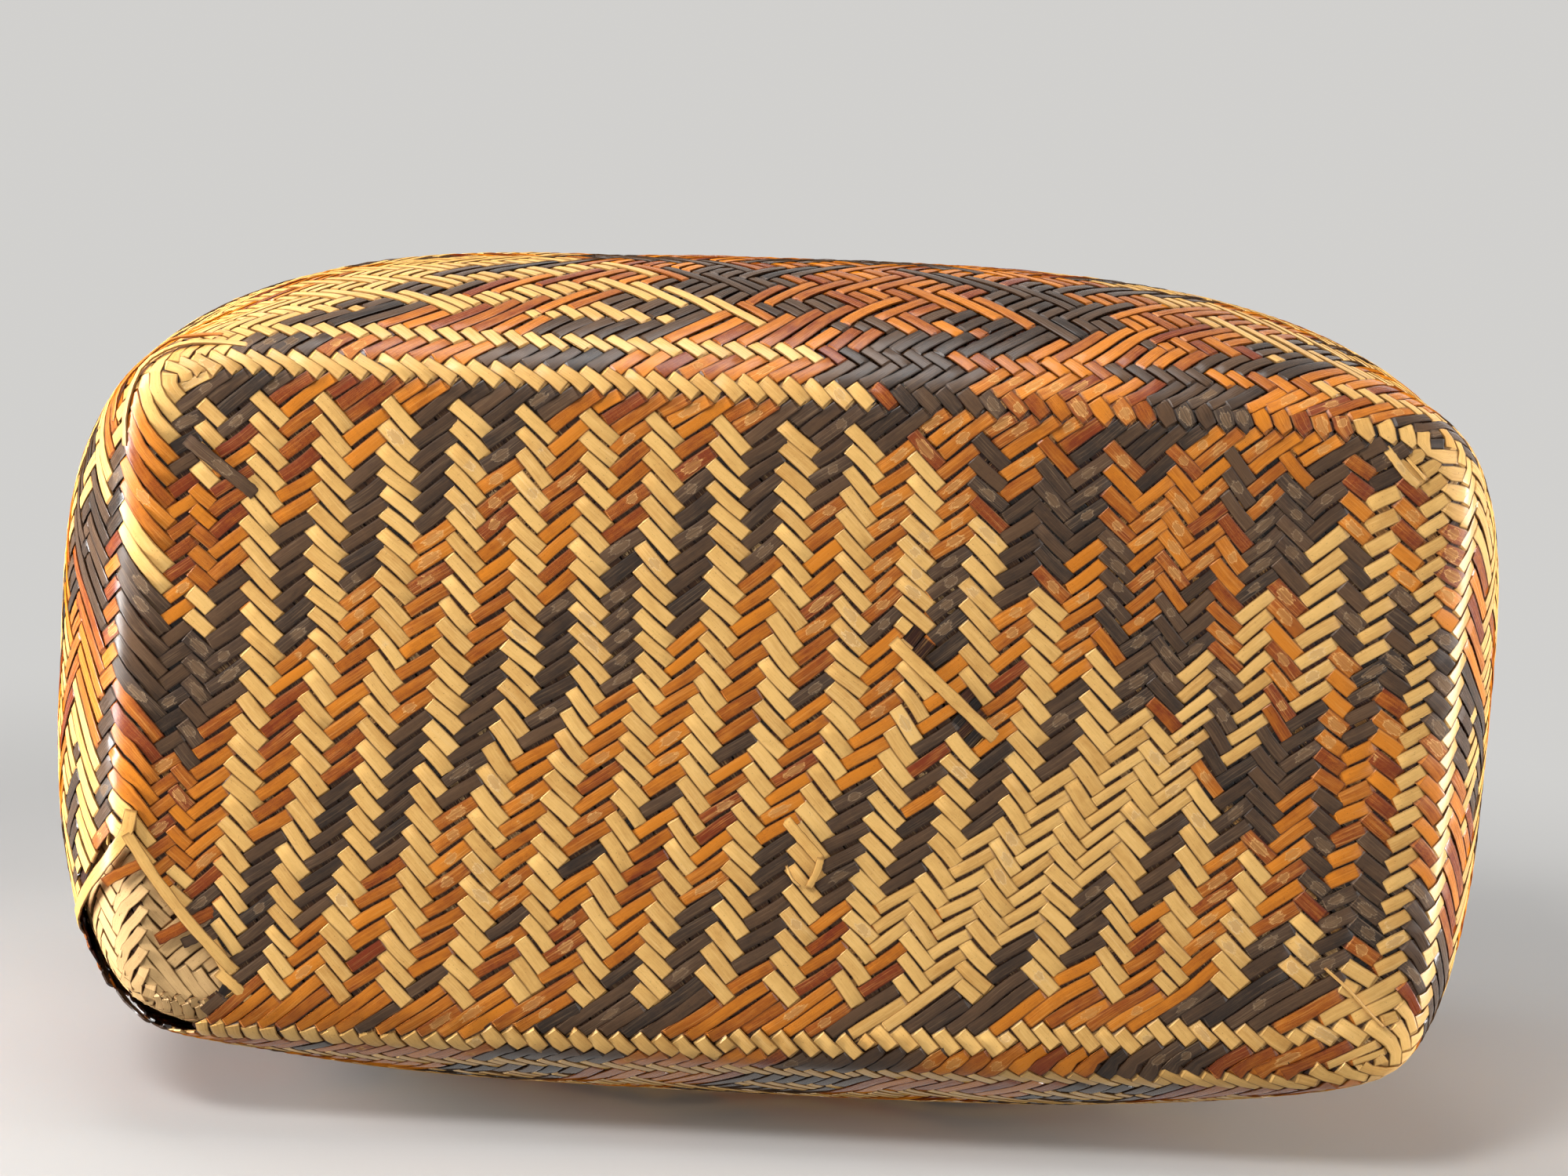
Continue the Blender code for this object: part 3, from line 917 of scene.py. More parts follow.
def cane_material(name, tone_spread, gloss, shine, **colours):
    """A cane's material from its pale, deep and rubbed colours, its spread of tone and its shine."""
    material = bpy.data.materials.new(name)
    material.use_nodes = True
    tree = material.node_tree
    shader = tree.nodes["Principled BSDF"]
    grazing = add_node(tree, "ShaderNodeLayerWeight", values={"Blend": FACING_BLEND})
    fading = {"From Min": RIM_STARTS, "From Max": RIM_ENDS, "To Min": shine, "To Max": RIM_SHINE}
    faded = add_node(tree, "ShaderNodeMapRange", links={"Value": grazing.outputs["Facing"]}, values=fading)
    tree.links.new(faded.outputs["Result"], shader.inputs["Specular IOR Level"])
    values = {"Tone Spread": tone_spread, "Gloss": gloss}
    values.update((key.capitalize(), (*colour, 1.0)) for key, colour in colours.items())
    skin = add_node(tree, "ShaderNodeGroup", node_tree=SKIN)
    for key, value in values.items():
        skin.inputs[key].default_value = value
    bump = add_node(tree, "ShaderNodeBump", links={"Height": skin.outputs["Height"]},
                    values={"Strength": BUMP_SHARE, "Distance": BUMP_HEIGHT})
    tree.links.new(skin.outputs["Colour"], shader.inputs["Base Color"])
    tree.links.new(skin.outputs["Roughness"], shader.inputs["Roughness"])
    tree.links.new(bump.outputs["Normal"], shader.inputs["Normal"])
    return material


straw = cane_material("straw_cane", tone_spread=0.8, gloss=0.27, shine=0.32,
                      pale=(0.77, 0.465, 0.148), deep=(0.48, 0.235, 0.055), rubbed=(0.74, 0.50, 0.235))
walnut = cane_material("walnut_cane", tone_spread=1.3, gloss=0.24, shine=0.32,
                       pale=(0.095, 0.048, 0.022), deep=(0.016, 0.010, 0.007), rubbed=(0.26, 0.17, 0.095))
bloodroot = cane_material("bloodroot_cane", tone_spread=1.8, gloss=0.24, shine=0.32,
                          pale=(0.58, 0.185, 0.012), deep=(0.16, 0.022, 0.003), rubbed=(0.68, 0.37, 0.12))
plain = cane_material("plain_cane", tone_spread=0.7, gloss=0.5, shine=0.15,
                      pale=(0.66, 0.42, 0.185), deep=(0.40, 0.24, 0.10), rubbed=(0.66, 0.46, 0.25))
DYED = (straw, walnut, bloodroot)
print("materials", [material.name for material in (*DYED, plain)])

# %% [markdown]
# ## Plait a whole layer
#
# Everything above comes together here. One float, the stretch of a cane that shows between two
# dives, has one colour and one amount of wear. First come the places where an old basket is
# damaged: the torn corner, a small hole, and the crowns that have been rubbed through.

# %% Sections of a family, and the damage
TEAR_LINES = (((-0.199, 0.0485), (-0.165, 0.084)), ((-0.165, 0.084), (-0.176, 0.104)))
TEAR_HEIGHT = 5 * MILLIMETRE
TEAR_CENTRE = (-0.187, 0.085, 0.0)
TEAR_OPENING = 0.035
TEAR_CLIMB = 15 * MILLIMETRE
TEAR_CLIMBS_FROM = 0.045
TEAR_CLIMBS_OVER = 0.024
TEAR_CORNER = 0.178
TEAR_RAGGED = 3 * MILLIMETRE
TEAR_CLIMB_SHARES = (0.93, 0.14)
TEAR_HEIGHT_SHARES = (0.4, 1.2)
TEAR_FADE = 1.5
HOLE_CANES = (9, 10)
HOLE_PLACE = 7.2
HOLE_REACH = 1.6


def sections(ends, climb, over_flat, over_wall, flips):
    """Where the sections of a family's canes go: cane, crossing, height share and float number."""
    lengths = (2 * (ends["leave"] - ends["enter"]) + 4 * climb + 1).astype(int)
    cane = np.repeat(np.arange(len(lengths)), lengths)
    crossing = np.arange(lengths.sum()) - np.repeat(np.cumsum(lengths) - lengths, lengths)
    before, after, u, v, q, w, left = along_cane(ends, cane, crossing, climb)
    on_top = np.where(before | after, over_wall(q, w) == left, over_flat(u, v) == (ends["slant"] < 0))
    level = np.where(on_top, 1.0, -1.0)
    same = cane[1:] == cane[:-1]
    flip = same & (level[1:] != level[:-1])
    number = np.concatenate([[0], np.cumsum((~same | flip).astype(int))])
    begin = np.nonzero(same)[0]
    copies = np.where(flip[begin], len(flips), 1)
    source = np.repeat(begin, copies)
    order = np.arange(len(source)) - np.repeat(np.cumsum(copies) - copies, copies)
    turning = flip[source]
    share = np.where(turning, np.array(flips)[np.minimum(order, len(flips) - 1)], 0.5)
    nearest = source + (share > 0.5)
    own_float = number[nearest]
    extent = np.bincount(number)
    middle = np.bincount(number, crossing) / extent
    return dict(cane=cane[source], at=crossing[source] + share, arch=np.where(turning, 0.0, 1.0),
                lift=level[source] * np.where(turning, np.sign(0.5 - share), 1.0), float=own_float,
                middle=middle[own_float], extent=extent[own_float], level=level[nearest])


def torn_away(points, number):
    """Whether a place lies in the torn corner: beyond two straight lines, low down, uneven by cane.

    Up the left wall the tear reaches higher, by a soft step along the wall.
    """
    chance = scatter(number, TEAR_SEED)
    climb = smooth((points[:, 1] - TEAR_CLIMBS_FROM) / TEAR_CLIMBS_OVER)
    climb = climb * smooth((-points[:, 0] - TEAR_CORNER) / TEAR_CLIMBS_OVER)
    climb = climb * uneven(*TEAR_CLIMB_SHARES, chance)
    gone = points[:, 2] < TEAR_HEIGHT * uneven(*TEAR_HEIGHT_SHARES, chance) + TEAR_CLIMB * climb
    for (x0, y0), (x1, y1) in TEAR_LINES:
        length = math.hypot(x1 - x0, y1 - y0)
        beyond = ((y1 - y0) * (x0 - points[:, 0]) + (x1 - x0) * (points[:, 1] - y0)) / length
        gone &= beyond > TEAR_RAGGED * (chance - 0.5)
    return gone


def near_tear(points):
    """A soft share, 1 in the middle of the torn corner and 0 beyond its opening."""
    return smooth(TEAR_FADE - np.linalg.norm(points - np.array(TEAR_CENTRE), axis=1) / TEAR_OPENING)


WORN_PATCHES = ((-13.1, -10.0), (-20.4, -3.2), (-8.4, -3.8), (-13.0, 6.5), (6.0, -7.0), (16.0, -9.0),
                (22.0, -11.0), (18.0, 1.0), (22.5, 7.5), (26.0, 9.0))
PATCH_REACH = 2.5
PATCH_FADE = 1.6
STRAW_CHANCE, DYED_CHANCE = 0.05, 0.20
STRAW_PATCH_CHANCE, DYED_PATCH_CHANCE = 0.45, 0.80
STOOD_ON_U, STOOD_ON_V, STOOD_ON_OVER = 2, 4, 8


def scuffed(floats, u, v, slot):
    """Which floats are rubbed through: a chance by dye that rises towards the corner most stood on.

    It is highest in a few worn patches.
    """
    stood_on = smooth((u - STOOD_ON_U) / STOOD_ON_OVER) * smooth((STOOD_ON_V - v) / STOOD_ON_OVER)
    chance = np.where(slot == STRAW, STRAW_CHANCE, DYED_CHANCE) * (1 + stood_on)
    for patch_u, patch_v in WORN_PATCHES:
        near = smooth(PATCH_FADE - np.hypot(u - patch_u, v - patch_v) / PATCH_REACH)
        chance = np.maximum(chance, near * np.where(slot == STRAW, STRAW_PATCH_CHANCE, DYED_PATCH_CHANCE))
    return scatter(floats, SCUFF_SEED) < chance


print("worn patches", len(WORN_PATCHES))

# %% [markdown]
# Every piece of plaiting ends in the same way, whether its canes are plaited, loose or bent over
# an edge, so one helper makes the mesh, writes the canes' own coordinates that the skin reads,
# and gives each face its dye.


# %% Finish strips as a piece
def finished_strips(name, points, normals, strip, width, along, own, spot, gap_shade, worn, slot=None,
                    section=DOMED_SECTION, sharp_from=FOLD_ANGLE):
    """Strips as an object, with the canes' own coordinates at every point and a dye for every face.

    Own is a random number of the whole cane. Spot is the way from the float's middle, half the
    float's length, and a random number of the float.
    """
    mesh, begins, first, last = strip_mesh(name, points, normals, strip, width / 2, section)
    lay_cane_map(mesh, points, strip, width / 2, begins, first, last, section)

    def on_section(values):
        """One value for each section, or one for all, given to every point of the section."""
        return np.repeat(np.broadcast_to(values, len(points)), len(section))

    cane_place = np.stack([on_section(along), np.tile(section[:, 0], len(points)), on_section(own)], -1)
    float_place = np.stack([on_section(part) for part in spot], -1)
    for key, values in (("cane_place", cane_place), ("float_place", float_place)):
        attribute = mesh.attributes.new(key, "FLOAT_VECTOR", "POINT")
        attribute.data.foreach_set("vector", values.astype(np.float32).ravel())
    # The gap shade is how far each section lies under others, for painted shade; the wear is real.
    for key, values in (("gap_shade", gap_shade), ("wear", worn)):
        attribute = mesh.attributes.new(key, "FLOAT", "POINT")
        attribute.data.foreach_set("value", on_section(values).astype(np.float32))
    if slot is not None:
        faces = np.concatenate([np.repeat(slot[begins], len(section)), slot[first], slot[last]])
        mesh.polygons.foreach_set("material_index", faces.astype(np.int32))
    for material in ((plain,) if slot is None else DYED):
        mesh.materials.append(material)
    mesh.shade_smooth()
    mesh.set_sharp_from_angle(angle=sharp_from)
    print(name, "triangles", sum(len(polygon.vertices) - 2 for polygon in mesh.polygons))
    return object_for(name, mesh)


print("a piece is sharp from", round(math.degrees(FOLD_ANGLE)), "degrees")

# %% [markdown]
# The walls swell and draw in, so the canes can't all be equally wide. A cane's width is a share
# of the distance to its neighbour, which is measured on the form at every section.

# %% Distance between neighbouring canes
HALF_STEP = 0.5
PITCH_RANGE = (2.5 * MILLIMETRE, 7 * MILLIMETRE)
SHORTEST_STEP = 1e-6


def cane_pitch(form, ends, cane, at):
    """The distance between neighbouring canes of one family: cell area over the way along the cane."""
    climb = form["climb"]
    before, after, u, v, q, w, left = along_cane(ends, cane, at, climb)
    on_wall = (before | after)[:, None]

    def place(u, v, q, w):
        """Places in space, on the wall or on the flat face as each cane's own place is."""
        wall = stretched(form, *square_place(q, w), np.clip(w, 0, climb) * form["arc"][-1] / climb)
        return np.where(on_wall, wall, stretched(form, *flat_square(u, v), np.zeros_like(u)))

    shift = HALF_STEP * ends["slant"]
    up = np.where(w > climb - HALF_STEP, -HALF_STEP, HALF_STEP)
    way = np.where(left, -up, up)
    mine = place(u + HALF_STEP, v + shift, q + way, w + up) - place(u, v, q, w)
    other = place(u + HALF_STEP, v - shift, q - way, w + up) - place(u, v, q, w)
    area = np.linalg.norm(np.cross(mine, other), axis=1)
    return np.clip(area / np.maximum(np.linalg.norm(mine, axis=1), SHORTEST_STEP), *PITCH_RANGE)


middle_cane = np.array([-FIRST_NUMBER])
middle_crossing = np.array([2 * basket_form["climb"] + STEPS_WIDE])
pitch = cane_pitch(basket_form, cane_ends(RISING), middle_cane, middle_crossing)
print("canes lie", (pitch / MILLIMETRE).round(2), "millimetres apart in the middle of the base")

# %% [markdown]
# The plaiting places and lifts the sections, takes out those in the tear and the hole, gives
# every section its width and a little sway, and last gives each float its wear and its dye. The
# two rules say which cane lies on top on the flat face and on the walls.

# %% Plait one family of a layer
FLAT_OPENING_SHARE = 0.3
LIFT_SHARES = (-0.25, 0.5)
WIDTH_SHARES = (0.93, 0.12)
WEAR_SHARES = (0.35, 1.0)
RISING_FLOATS_FROM = 7919
STRIPS_A_CANE = 16
NARROWS_FROM, NARROWS_OVER = 4, 4
WIDTH_FADE_STEPS = 3
SLOW_SWAY = 0.2 * MILLIMETRE
SWAY_TURN, SWAY_CHANCE_TURN = 0.9, 6
FLOAT_SHIFT = 0.5 * MILLIMETRE
WALL_SHIFT_SHARE, FLAT_SHIFT_SHARE = 1.2, 0.6
CROSSING_LENGTH = 4.8 * MILLIMETRE
EDGE_WEAR_STEPS = 1.5
MOST_WEAR = 0.6
SCUFFED_WEAR, SCUFFED_STEPS = 0.8, 2
SCUFFED_LAYER_WEAR = 0.4
OUTER_WEAR = (0.55, 0.05)


def plait(name, form, family, over_flat, over_wall, depth, choose=None, dye=None, torn=False,
          opening=0.0, flips=FLIP_SHARES, wear=OUTER_WEAR, section=DOMED_SECTION):
    """One family of canes of a layer as a mesh object, with the canes' own coordinates.

    Depth is how far the layer's middle lies under the form. Wear is a pair, for the flat face and
    for the walls. The opening is how far the layer bulges at the torn corner.
    """
    climb = form["climb"]
    ends = cane_ends(family)
    made = sections(ends, climb, over_flat, over_wall, flips)
    if choose is not None:
        keep = choose(ends["number"][made["cane"]])
        made = {key: value[keep] for key, value in made.items()}
    cane, at = made["cane"], made["at"]
    before, after, u, v, q, w = along_cane(ends, cane, at, climb)[:-1]
    on_wall = before | after
    wall, wall_normal = wall_place(form, q, np.minimum(w, climb))
    flat, flat_normal = flat_place(form, u, v)
    normals = np.where(on_wall[:, None], wall_normal, flat_normal)
    points = rippled(np.where(on_wall[:, None], wall, flat), normals)
    if opening:
        opened = opening * near_tear(points) * np.where(on_wall, 1.0, FLAT_OPENING_SHARE)
        points = points + opened[:, None] * normals
    floats = made["float"] + RISING_FLOATS_FROM * (family == RISING)
    rise = made["lift"] * WEAVE_HEIGHT + made["arch"] * made["lift"] * ARCH
    rise = rise + WEAVE_HEIGHT * uneven(*LIFT_SHARES, scatter(floats, LIFT_SEED)) - depth
    points = points + normals * rise[:, None]

    number = ends["number"][cane]
    gone = np.zeros(len(cane), bool)
    if torn:
        in_hole = np.isin(number, HOLE_CANES) & (np.abs(u - HOLE_PLACE) < HOLE_REACH) & ~on_wall
        gone = torn_away(points, number) | (in_hole & (family == FALLING))
    strip = cane * STRIPS_A_CANE + np.cumsum(np.concatenate([[0], gone[1:] != gone[:-1]]))
    kept = ~gone & np.isin(strip, strip[:-1][strip[:-1] == strip[1:]])
    points, normals, strip, cane, number = (part[kept] for part in (points, normals, strip, cane, number))
    at, floats, u, v, w, on_wall, before = (part[kept] for part in (at, floats, u, v, w, on_wall, before))
    middle, extent, lift, level = (made[key][kept] for key in ("middle", "extent", "lift", "level"))

    base_share = BASE_WIDTH_SHARES[family]
    narrowed = smooth((w - NARROWS_FROM) / NARROWS_OVER)
    wall_share = WALL_WIDTH_SHARE + (HIGH_WALL_SHARE - WALL_WIDTH_SHARE) * narrowed
    near_share = wall_share + (base_share - wall_share) * smooth(1 - w / WIDTH_FADE_STEPS)
    share = np.where(on_wall, near_share, base_share) * uneven(*WIDTH_SHARES, scatter(number, WIDTH_SEED))
    width = np.minimum(cane_pitch(form, ends, cane, at) * share, WIDEST_CANE)
    sway = SLOW_SWAY * np.sin(at * SWAY_TURN + SWAY_CHANCE_TURN * scatter(number, SWAY_SEED))
    shift_share = np.where(on_wall, WALL_SHIFT_SHARE, FLAT_SHIFT_SHARE)
    sway += FLOAT_SHIFT * (scatter(floats, SHIFT_SEED) - 0.5) * shift_share
    flattened = FLATTENED[family] * smooth(1 - np.where(on_wall, w, 0) / FLATTENED_STEPS)
    sway += flattened * level * (at - middle) / (extent / 2)
    points = points + unit(np.cross(normals, tangents(points, strip))) * sway[:, None]

    base_wear, wall_wear = wear
    rubbed = np.where(w > EDGE_WEAR_STEPS, wall_wear, (base_wear + wall_wear) / 2)
    rubbed = np.where(on_wall, rubbed, base_wear) * uneven(*WEAR_SHARES, scatter(floats, WEAR_SEED))
    worn = np.minimum(rubbed, MOST_WEAR)
    slot = None
    if dye is not None:
        beyond = np.where(before, -HALF_LONG - w, HALF_LONG + w)
        slot = dye(family, number, np.where(on_wall, beyond, u + (middle - at) / 2), ~on_wall)
        low = (base_wear > SCUFFED_LAYER_WEAR) & (w < SCUFFED_STEPS)
        worn = np.where(scuffed(floats, u, v, slot) & low, SCUFFED_WEAR, worn)
    spot = ((at - middle) * CROSSING_LENGTH, extent / 2 * CROSSING_LENGTH, scatter(floats, FLOAT_SEED))
    own = scatter(number, CANE_SEEDS[family])
    # How far each section lies under others is passed on for painted shade in the gaps.
    return finished_strips(name, points, normals, strip, width, way_along(points, strip), own, spot,
                           np.clip(-lift, 0, 1), worn, slot, section)


print("wear of the outer basket's base and walls", OUTER_WEAR)

# %% [markdown]
# Each family is cut in two pieces in the middle, left and right, so that no piece gets too heavy.

# %% Plait the outer basket
OUTER_DEPTH = LAYER / 2
INNER_DEPTH = LAYER + LAYER_GAP + LAYER / 2
OUTER_OPENING = 1.2 * MILLIMETRE
HALVES = (("left", lambda number: number < 0), ("right", lambda number: number >= 0))
for family in (FALLING, RISING):
    for half_name, choose in HALVES:
        piece = plait(f"outer_canes_{family}_{half_name}", basket_form, family, rising_on_top, left_on_top,
                      OUTER_DEPTH, choose, basket_dye, torn=True, opening=OUTER_OPENING)
        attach(piece, "basket")
        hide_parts("outer_basket")

# %% [markdown]
# ## Broken and lifted splints
#
# A plaited base wears through where it stands. Some canes have snapped and stand out, one lies
# free beside a small hole, one bridges the torn corner, and at two corners the canes have worked
# loose into loops. None of these follows the plaiting's rule, so each is laid on one by one as a
# strip through a few places. On the base a place is in millimetres from its middle. On a wall it
# is in steps round, steps up and millimetres off the wall.

# %% Lay the loose splints, each with its dye, width in millimetres, wear and places
BASE_SPLINTS = (
    (STRAW, 3.6, 0.3, ((-197.5, 43.5, -0.2), (-194.3, 48.2, -0.3), (-189.3, 55.6, -0.6),
                       (-182.9, 63.6, -0.7), (-177.3, 70.2, -0.7), (-171.6, 76.2, -0.5),
                       (-165.3, 82.9, -0.1), (-163.0, 85.0, 0.6))),
    (BLOODROOT, 3.7, 0.2, ((-169.0, 65.6, 0.6), (-173.0, 67.6, 0.0), (-180.0, 71.8, 0.1),
                           (-187.2, 76.2, 0.5))),
    (WALNUT, 3.2, 0.2, ((-167.0, 70.5, 0.8), (-173.0, 73.5, 0.4), (-179.5, 77.0, 0.7))),
    (BLOODROOT, 3.4, 0.5, ((-204.0, 60.0, 3.0), (-201.0, 57.5, 1.6), (-193.4, 53.0, 0.5),
                           (-189.0, 50.6, 0.8))),
    (STRAW, 3.4, 0.2, ((-158.0, 94.0, 0.6), (-163.5, 89.0, 0.0), (-168.5, 85.0, 0.3))),
    (STRAW, 4.0, 0.15, ((29.5, -28.5, 0.6), (32.8, -25.6, 0.0), (47.5, -13.2, -0.4), (60.5, -2.0, 0.0),
                        (63.0, 0.0, 0.7))),
    (STRAW, 3.4, 0.1, ((0.5, 28.2, 0.6), (3.0, 30.8, -0.1), (12.0, 40.1, -0.8))),
    (STRAW, 2.3, 0.1, ((12.2, 39.4, -0.9), (11.2, 44.0, -1.1), (9.0, 49.0, -0.8))),
    (STRAW, 0.8, 0.1, ((1.9, 42.6, -0.6), (3.8, 46.4, -0.9), (6.4, 48.8, -0.5))),
    (WALNUT, 4.0, 0.8, ((-184.5, -77.0, 0.6), (-181.5, -74.8, 0.15), (-173.9, -69.3, 0.0),
                        (-166.5, -64.0, 0.15), (-163.5, -61.5, 0.6))),
    (STRAW, 2.6, 0.8, ((174.0, -95.8, 0.5), (176.5, -93.0, -0.2), (181.0, -88.0, -0.4), (185.3, -84.9, 0.3))),
    (STRAW, 1.0, 0.1, ((180.6, -93.2, -0.3), (183.8, -90.0, -1.0), (186.8, -86.9, -0.9))),
    (STRAW, 1.0, 0.1, ((169.8, 65.9, 0.0), (177.7, 72.2, -0.7), (184.4, 78.8, -0.9), (189.7, 83.5, -0.6))),
)
WALL_SPLINTS = (
    (STRAW, 4.0, 0.1, ((161.4, 0.0, -0.4), (160.3, 0.2, 0.4), (159.0, 1.3, 0.6), (157.8, 2.8, 0.6),
                       (156.6, 4.6, 0.6), (155.4, 6.6, -0.2))),
    (STRAW, 2.2, 0.2, ((-4.2, 1.2, -0.6), (-2.6, 1.3, 0.3), (-0.6, 1.6, 0.8), (1.4, 1.8, 0.8),
                       (3.6, 1.6, 0.2), (5.4, 1.3, -0.6))),
    (BLOODROOT, 2.0, 0.2, ((-3.4, 2.6, -0.6), (-1.8, 2.7, 0.3), (0.5, 2.9, 0.8), (2.6, 2.8, 0.2),
                           (4.2, 2.6, -0.6))),
)
SPLINT_SAMPLES = 14


def flat_splint(places):
    """Places given in millimetres from the middle of the base, with their height, facing down."""
    places = np.array(places) * MILLIMETRE
    return places, np.broadcast_to(np.array([0.0, 0.0, -1.0]), places.shape)


def wall_splint(places):
    """Places given in steps round, steps up and millimetres off the wall, facing outwards."""
    q, w, lift = np.array(places).T
    here, normals = wall_place(basket_form, q, w)
    return here + normals * (lift * MILLIMETRE)[:, None], normals


def through(places):
    """A smooth curve through places, a cubic with each place's slope taken from its neighbours."""
    slopes = np.gradient(places, axis=0)
    share = np.linspace(0, len(places) - 1, SPLINT_SAMPLES)
    here = np.minimum(share.astype(int), len(places) - 2)
    t = (share - here)[:, None]
    rise = t * t * (3 - 2 * t)
    curve = places[here] * (1 - rise) + places[here + 1] * rise
    return curve + slopes[here] * t * (1 - t) ** 2 - slopes[here + 1] * t * t * (1 - t)


SPLINT_SEEDS = (21, 22)
SPLINT_UNEVEN_SHARE = 0.06
SPLINT_TURN = 9
laid = [(dye, width, wear, *flat_splint(places)) for dye, width, wear, places in BASE_SPLINTS]
laid += [(dye, width, wear, *wall_splint(places)) for dye, width, wear, places in WALL_SPLINTS]
dyes, widths, wears, routes, facings = zip(*laid)
points = np.concatenate([through(places) for places in routes])
normals = unit(np.concatenate([through(facing) for facing in facings]))
strip = np.repeat(np.arange(len(laid)), SPLINT_SAMPLES)
unevenness = 1 + SPLINT_UNEVEN_SHARE * np.sin(SPLINT_TURN * np.arange(len(points)))
width = np.array(widths)[strip] * MILLIMETRE * unevenness
along = STRIP_GAP + way_along(points, strip)
begin, end = along[::SPLINT_SAMPLES][strip], along[SPLINT_SAMPLES - 1::SPLINT_SAMPLES][strip]
own, chance = (scatter(strip, seed) for seed in SPLINT_SEEDS)
splints = finished_strips("loose_splints", points, normals, strip, width, along, own,
                          (along - (begin + end) / 2, (end - begin) / 2, chance), 0.0,
                          np.array(wears)[strip], np.array(dyes)[strip])
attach(splints, "basket")
print("loose splints", len(laid))

# %% [markdown]
# ## The inner basket
#
# Inside the dyed basket sits a second one of plain cane, from which the plaiting began. It shows
# through the torn corner and when the lid is off. Its base is plaited in nested rectangles, a
# common way to start, so its rows turn a square corner along the diagonals. It needs fewer
# sections and a plain flat strip, because only its faces are ever seen.


# %% Plait the inner basket
def nested_on_top(u, v):
    """Nested rectangles: the rule counts steps out from the middle line instead of along."""
    ring = np.maximum(np.abs(u) - (HALF_LONG - HALF_WIDE), np.abs(v))
    return (ring + COLUMN_START) % COLUMN_STEPS < FLOAT_STEPS


def rows_on_top(q, w):
    """Even rows round the walls."""
    return (w + COLUMN_START) % COLUMN_STEPS < FLOAT_STEPS


PLAIN_FLIPS = (0.38, 0.62)
INNER_OPENING = -1.5 * MILLIMETRE
INNER_WEAR = (0.25, 0.2)
for family in (FALLING, RISING):
    piece = plait(f"inner_canes_{family}", basket_form, family, nested_on_top, rows_on_top, INNER_DEPTH,
                  opening=INNER_OPENING, flips=PLAIN_FLIPS, wear=INNER_WEAR, section=FLAT_SECTION)
    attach(piece, "basket")
    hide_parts("inner_basket")

# %% [markdown]
# ## The lid
#
# The lid doesn't show in the picture, so its pattern is a guess after the basket's own: the same
# herringbone on its flat top, zigzag rows on its sides and the same two dyes in groups. Like the
# basket it is double, dyed cane outside and plain cane inside.

# %% Plait the lid
LID_FALLING_RUNS = ((STRAW, 14), (BLOODROOT, 6), (WALNUT, 4), (BLOODROOT, 6), (STRAW, 31), (BLOODROOT, 6),
                    (WALNUT, 4), (BLOODROOT, 6), (STRAW, 14))
LID_RISING_RUNS = ((WALNUT, 5), (BLOODROOT, 8), (WALNUT, 5), (BLOODROOT, 8), (STRAW, 4), (BLOODROOT, 7),
                   (WALNUT, 5), (BLOODROOT, 7), (WALNUT, 5), (BLOODROOT, 7), (STRAW, 4), (BLOODROOT, 8),
                   (WALNUT, 5), (BLOODROOT, 8), (WALNUT, 5))
LID_WEAR = (0.25, 0.12)
LINING_WEAR = (0.15, 0.15)


def lid_dye(family, number, u, on_base):
    """The colour of the lid's canes from their numbers alone."""
    runs = LID_FALLING_RUNS if family == FALLING else LID_RISING_RUNS
    return run_colours(runs)[number - FIRST_NUMBER]


for family in (FALLING, RISING):
    for half_name, choose in HALVES:
        piece = plait(f"lid_canes_{family}_{half_name}", lid_form, family, rising_on_top, left_on_top,
                      OUTER_DEPTH, choose, lid_dye, wear=LID_WEAR)
        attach(piece, "lid")
        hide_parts("lid_outer")
    piece = plait(f"lid_lining_{family}", lid_form, family, nested_on_top, rows_on_top, INNER_DEPTH,
                  flips=PLAIN_FLIPS, wear=LINING_WEAR, section=FLAT_SECTION)
    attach(piece, "lid")
    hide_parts("lid_inner")

# %% [markdown]
# ## The folded edges
#
# At the mouth the canes of the outer basket bend over and go down inside as the inner one, which
# leaves a smooth edge of short slanting bends. The lid's edge is made in the same way. Each bend
# is a strip of its own on a half ellipse, moved along the edge as it goes over.

# %% Bend the canes over the two edges
FOLD_SAMPLES = 7
FOLD_RISE = 2.7 * MILLIMETRE
FOLD_SEAT = 0.2 * MILLIMETRE
FOLD_TRAVEL = 1.15
FOLD_WIDTH = 4.4 * MILLIMETRE
FOLD_LENGTH = 8 * MILLIMETRE
FOLD_WEAR = 0.3
FOLD_SHARP_FROM = math.radians(50)


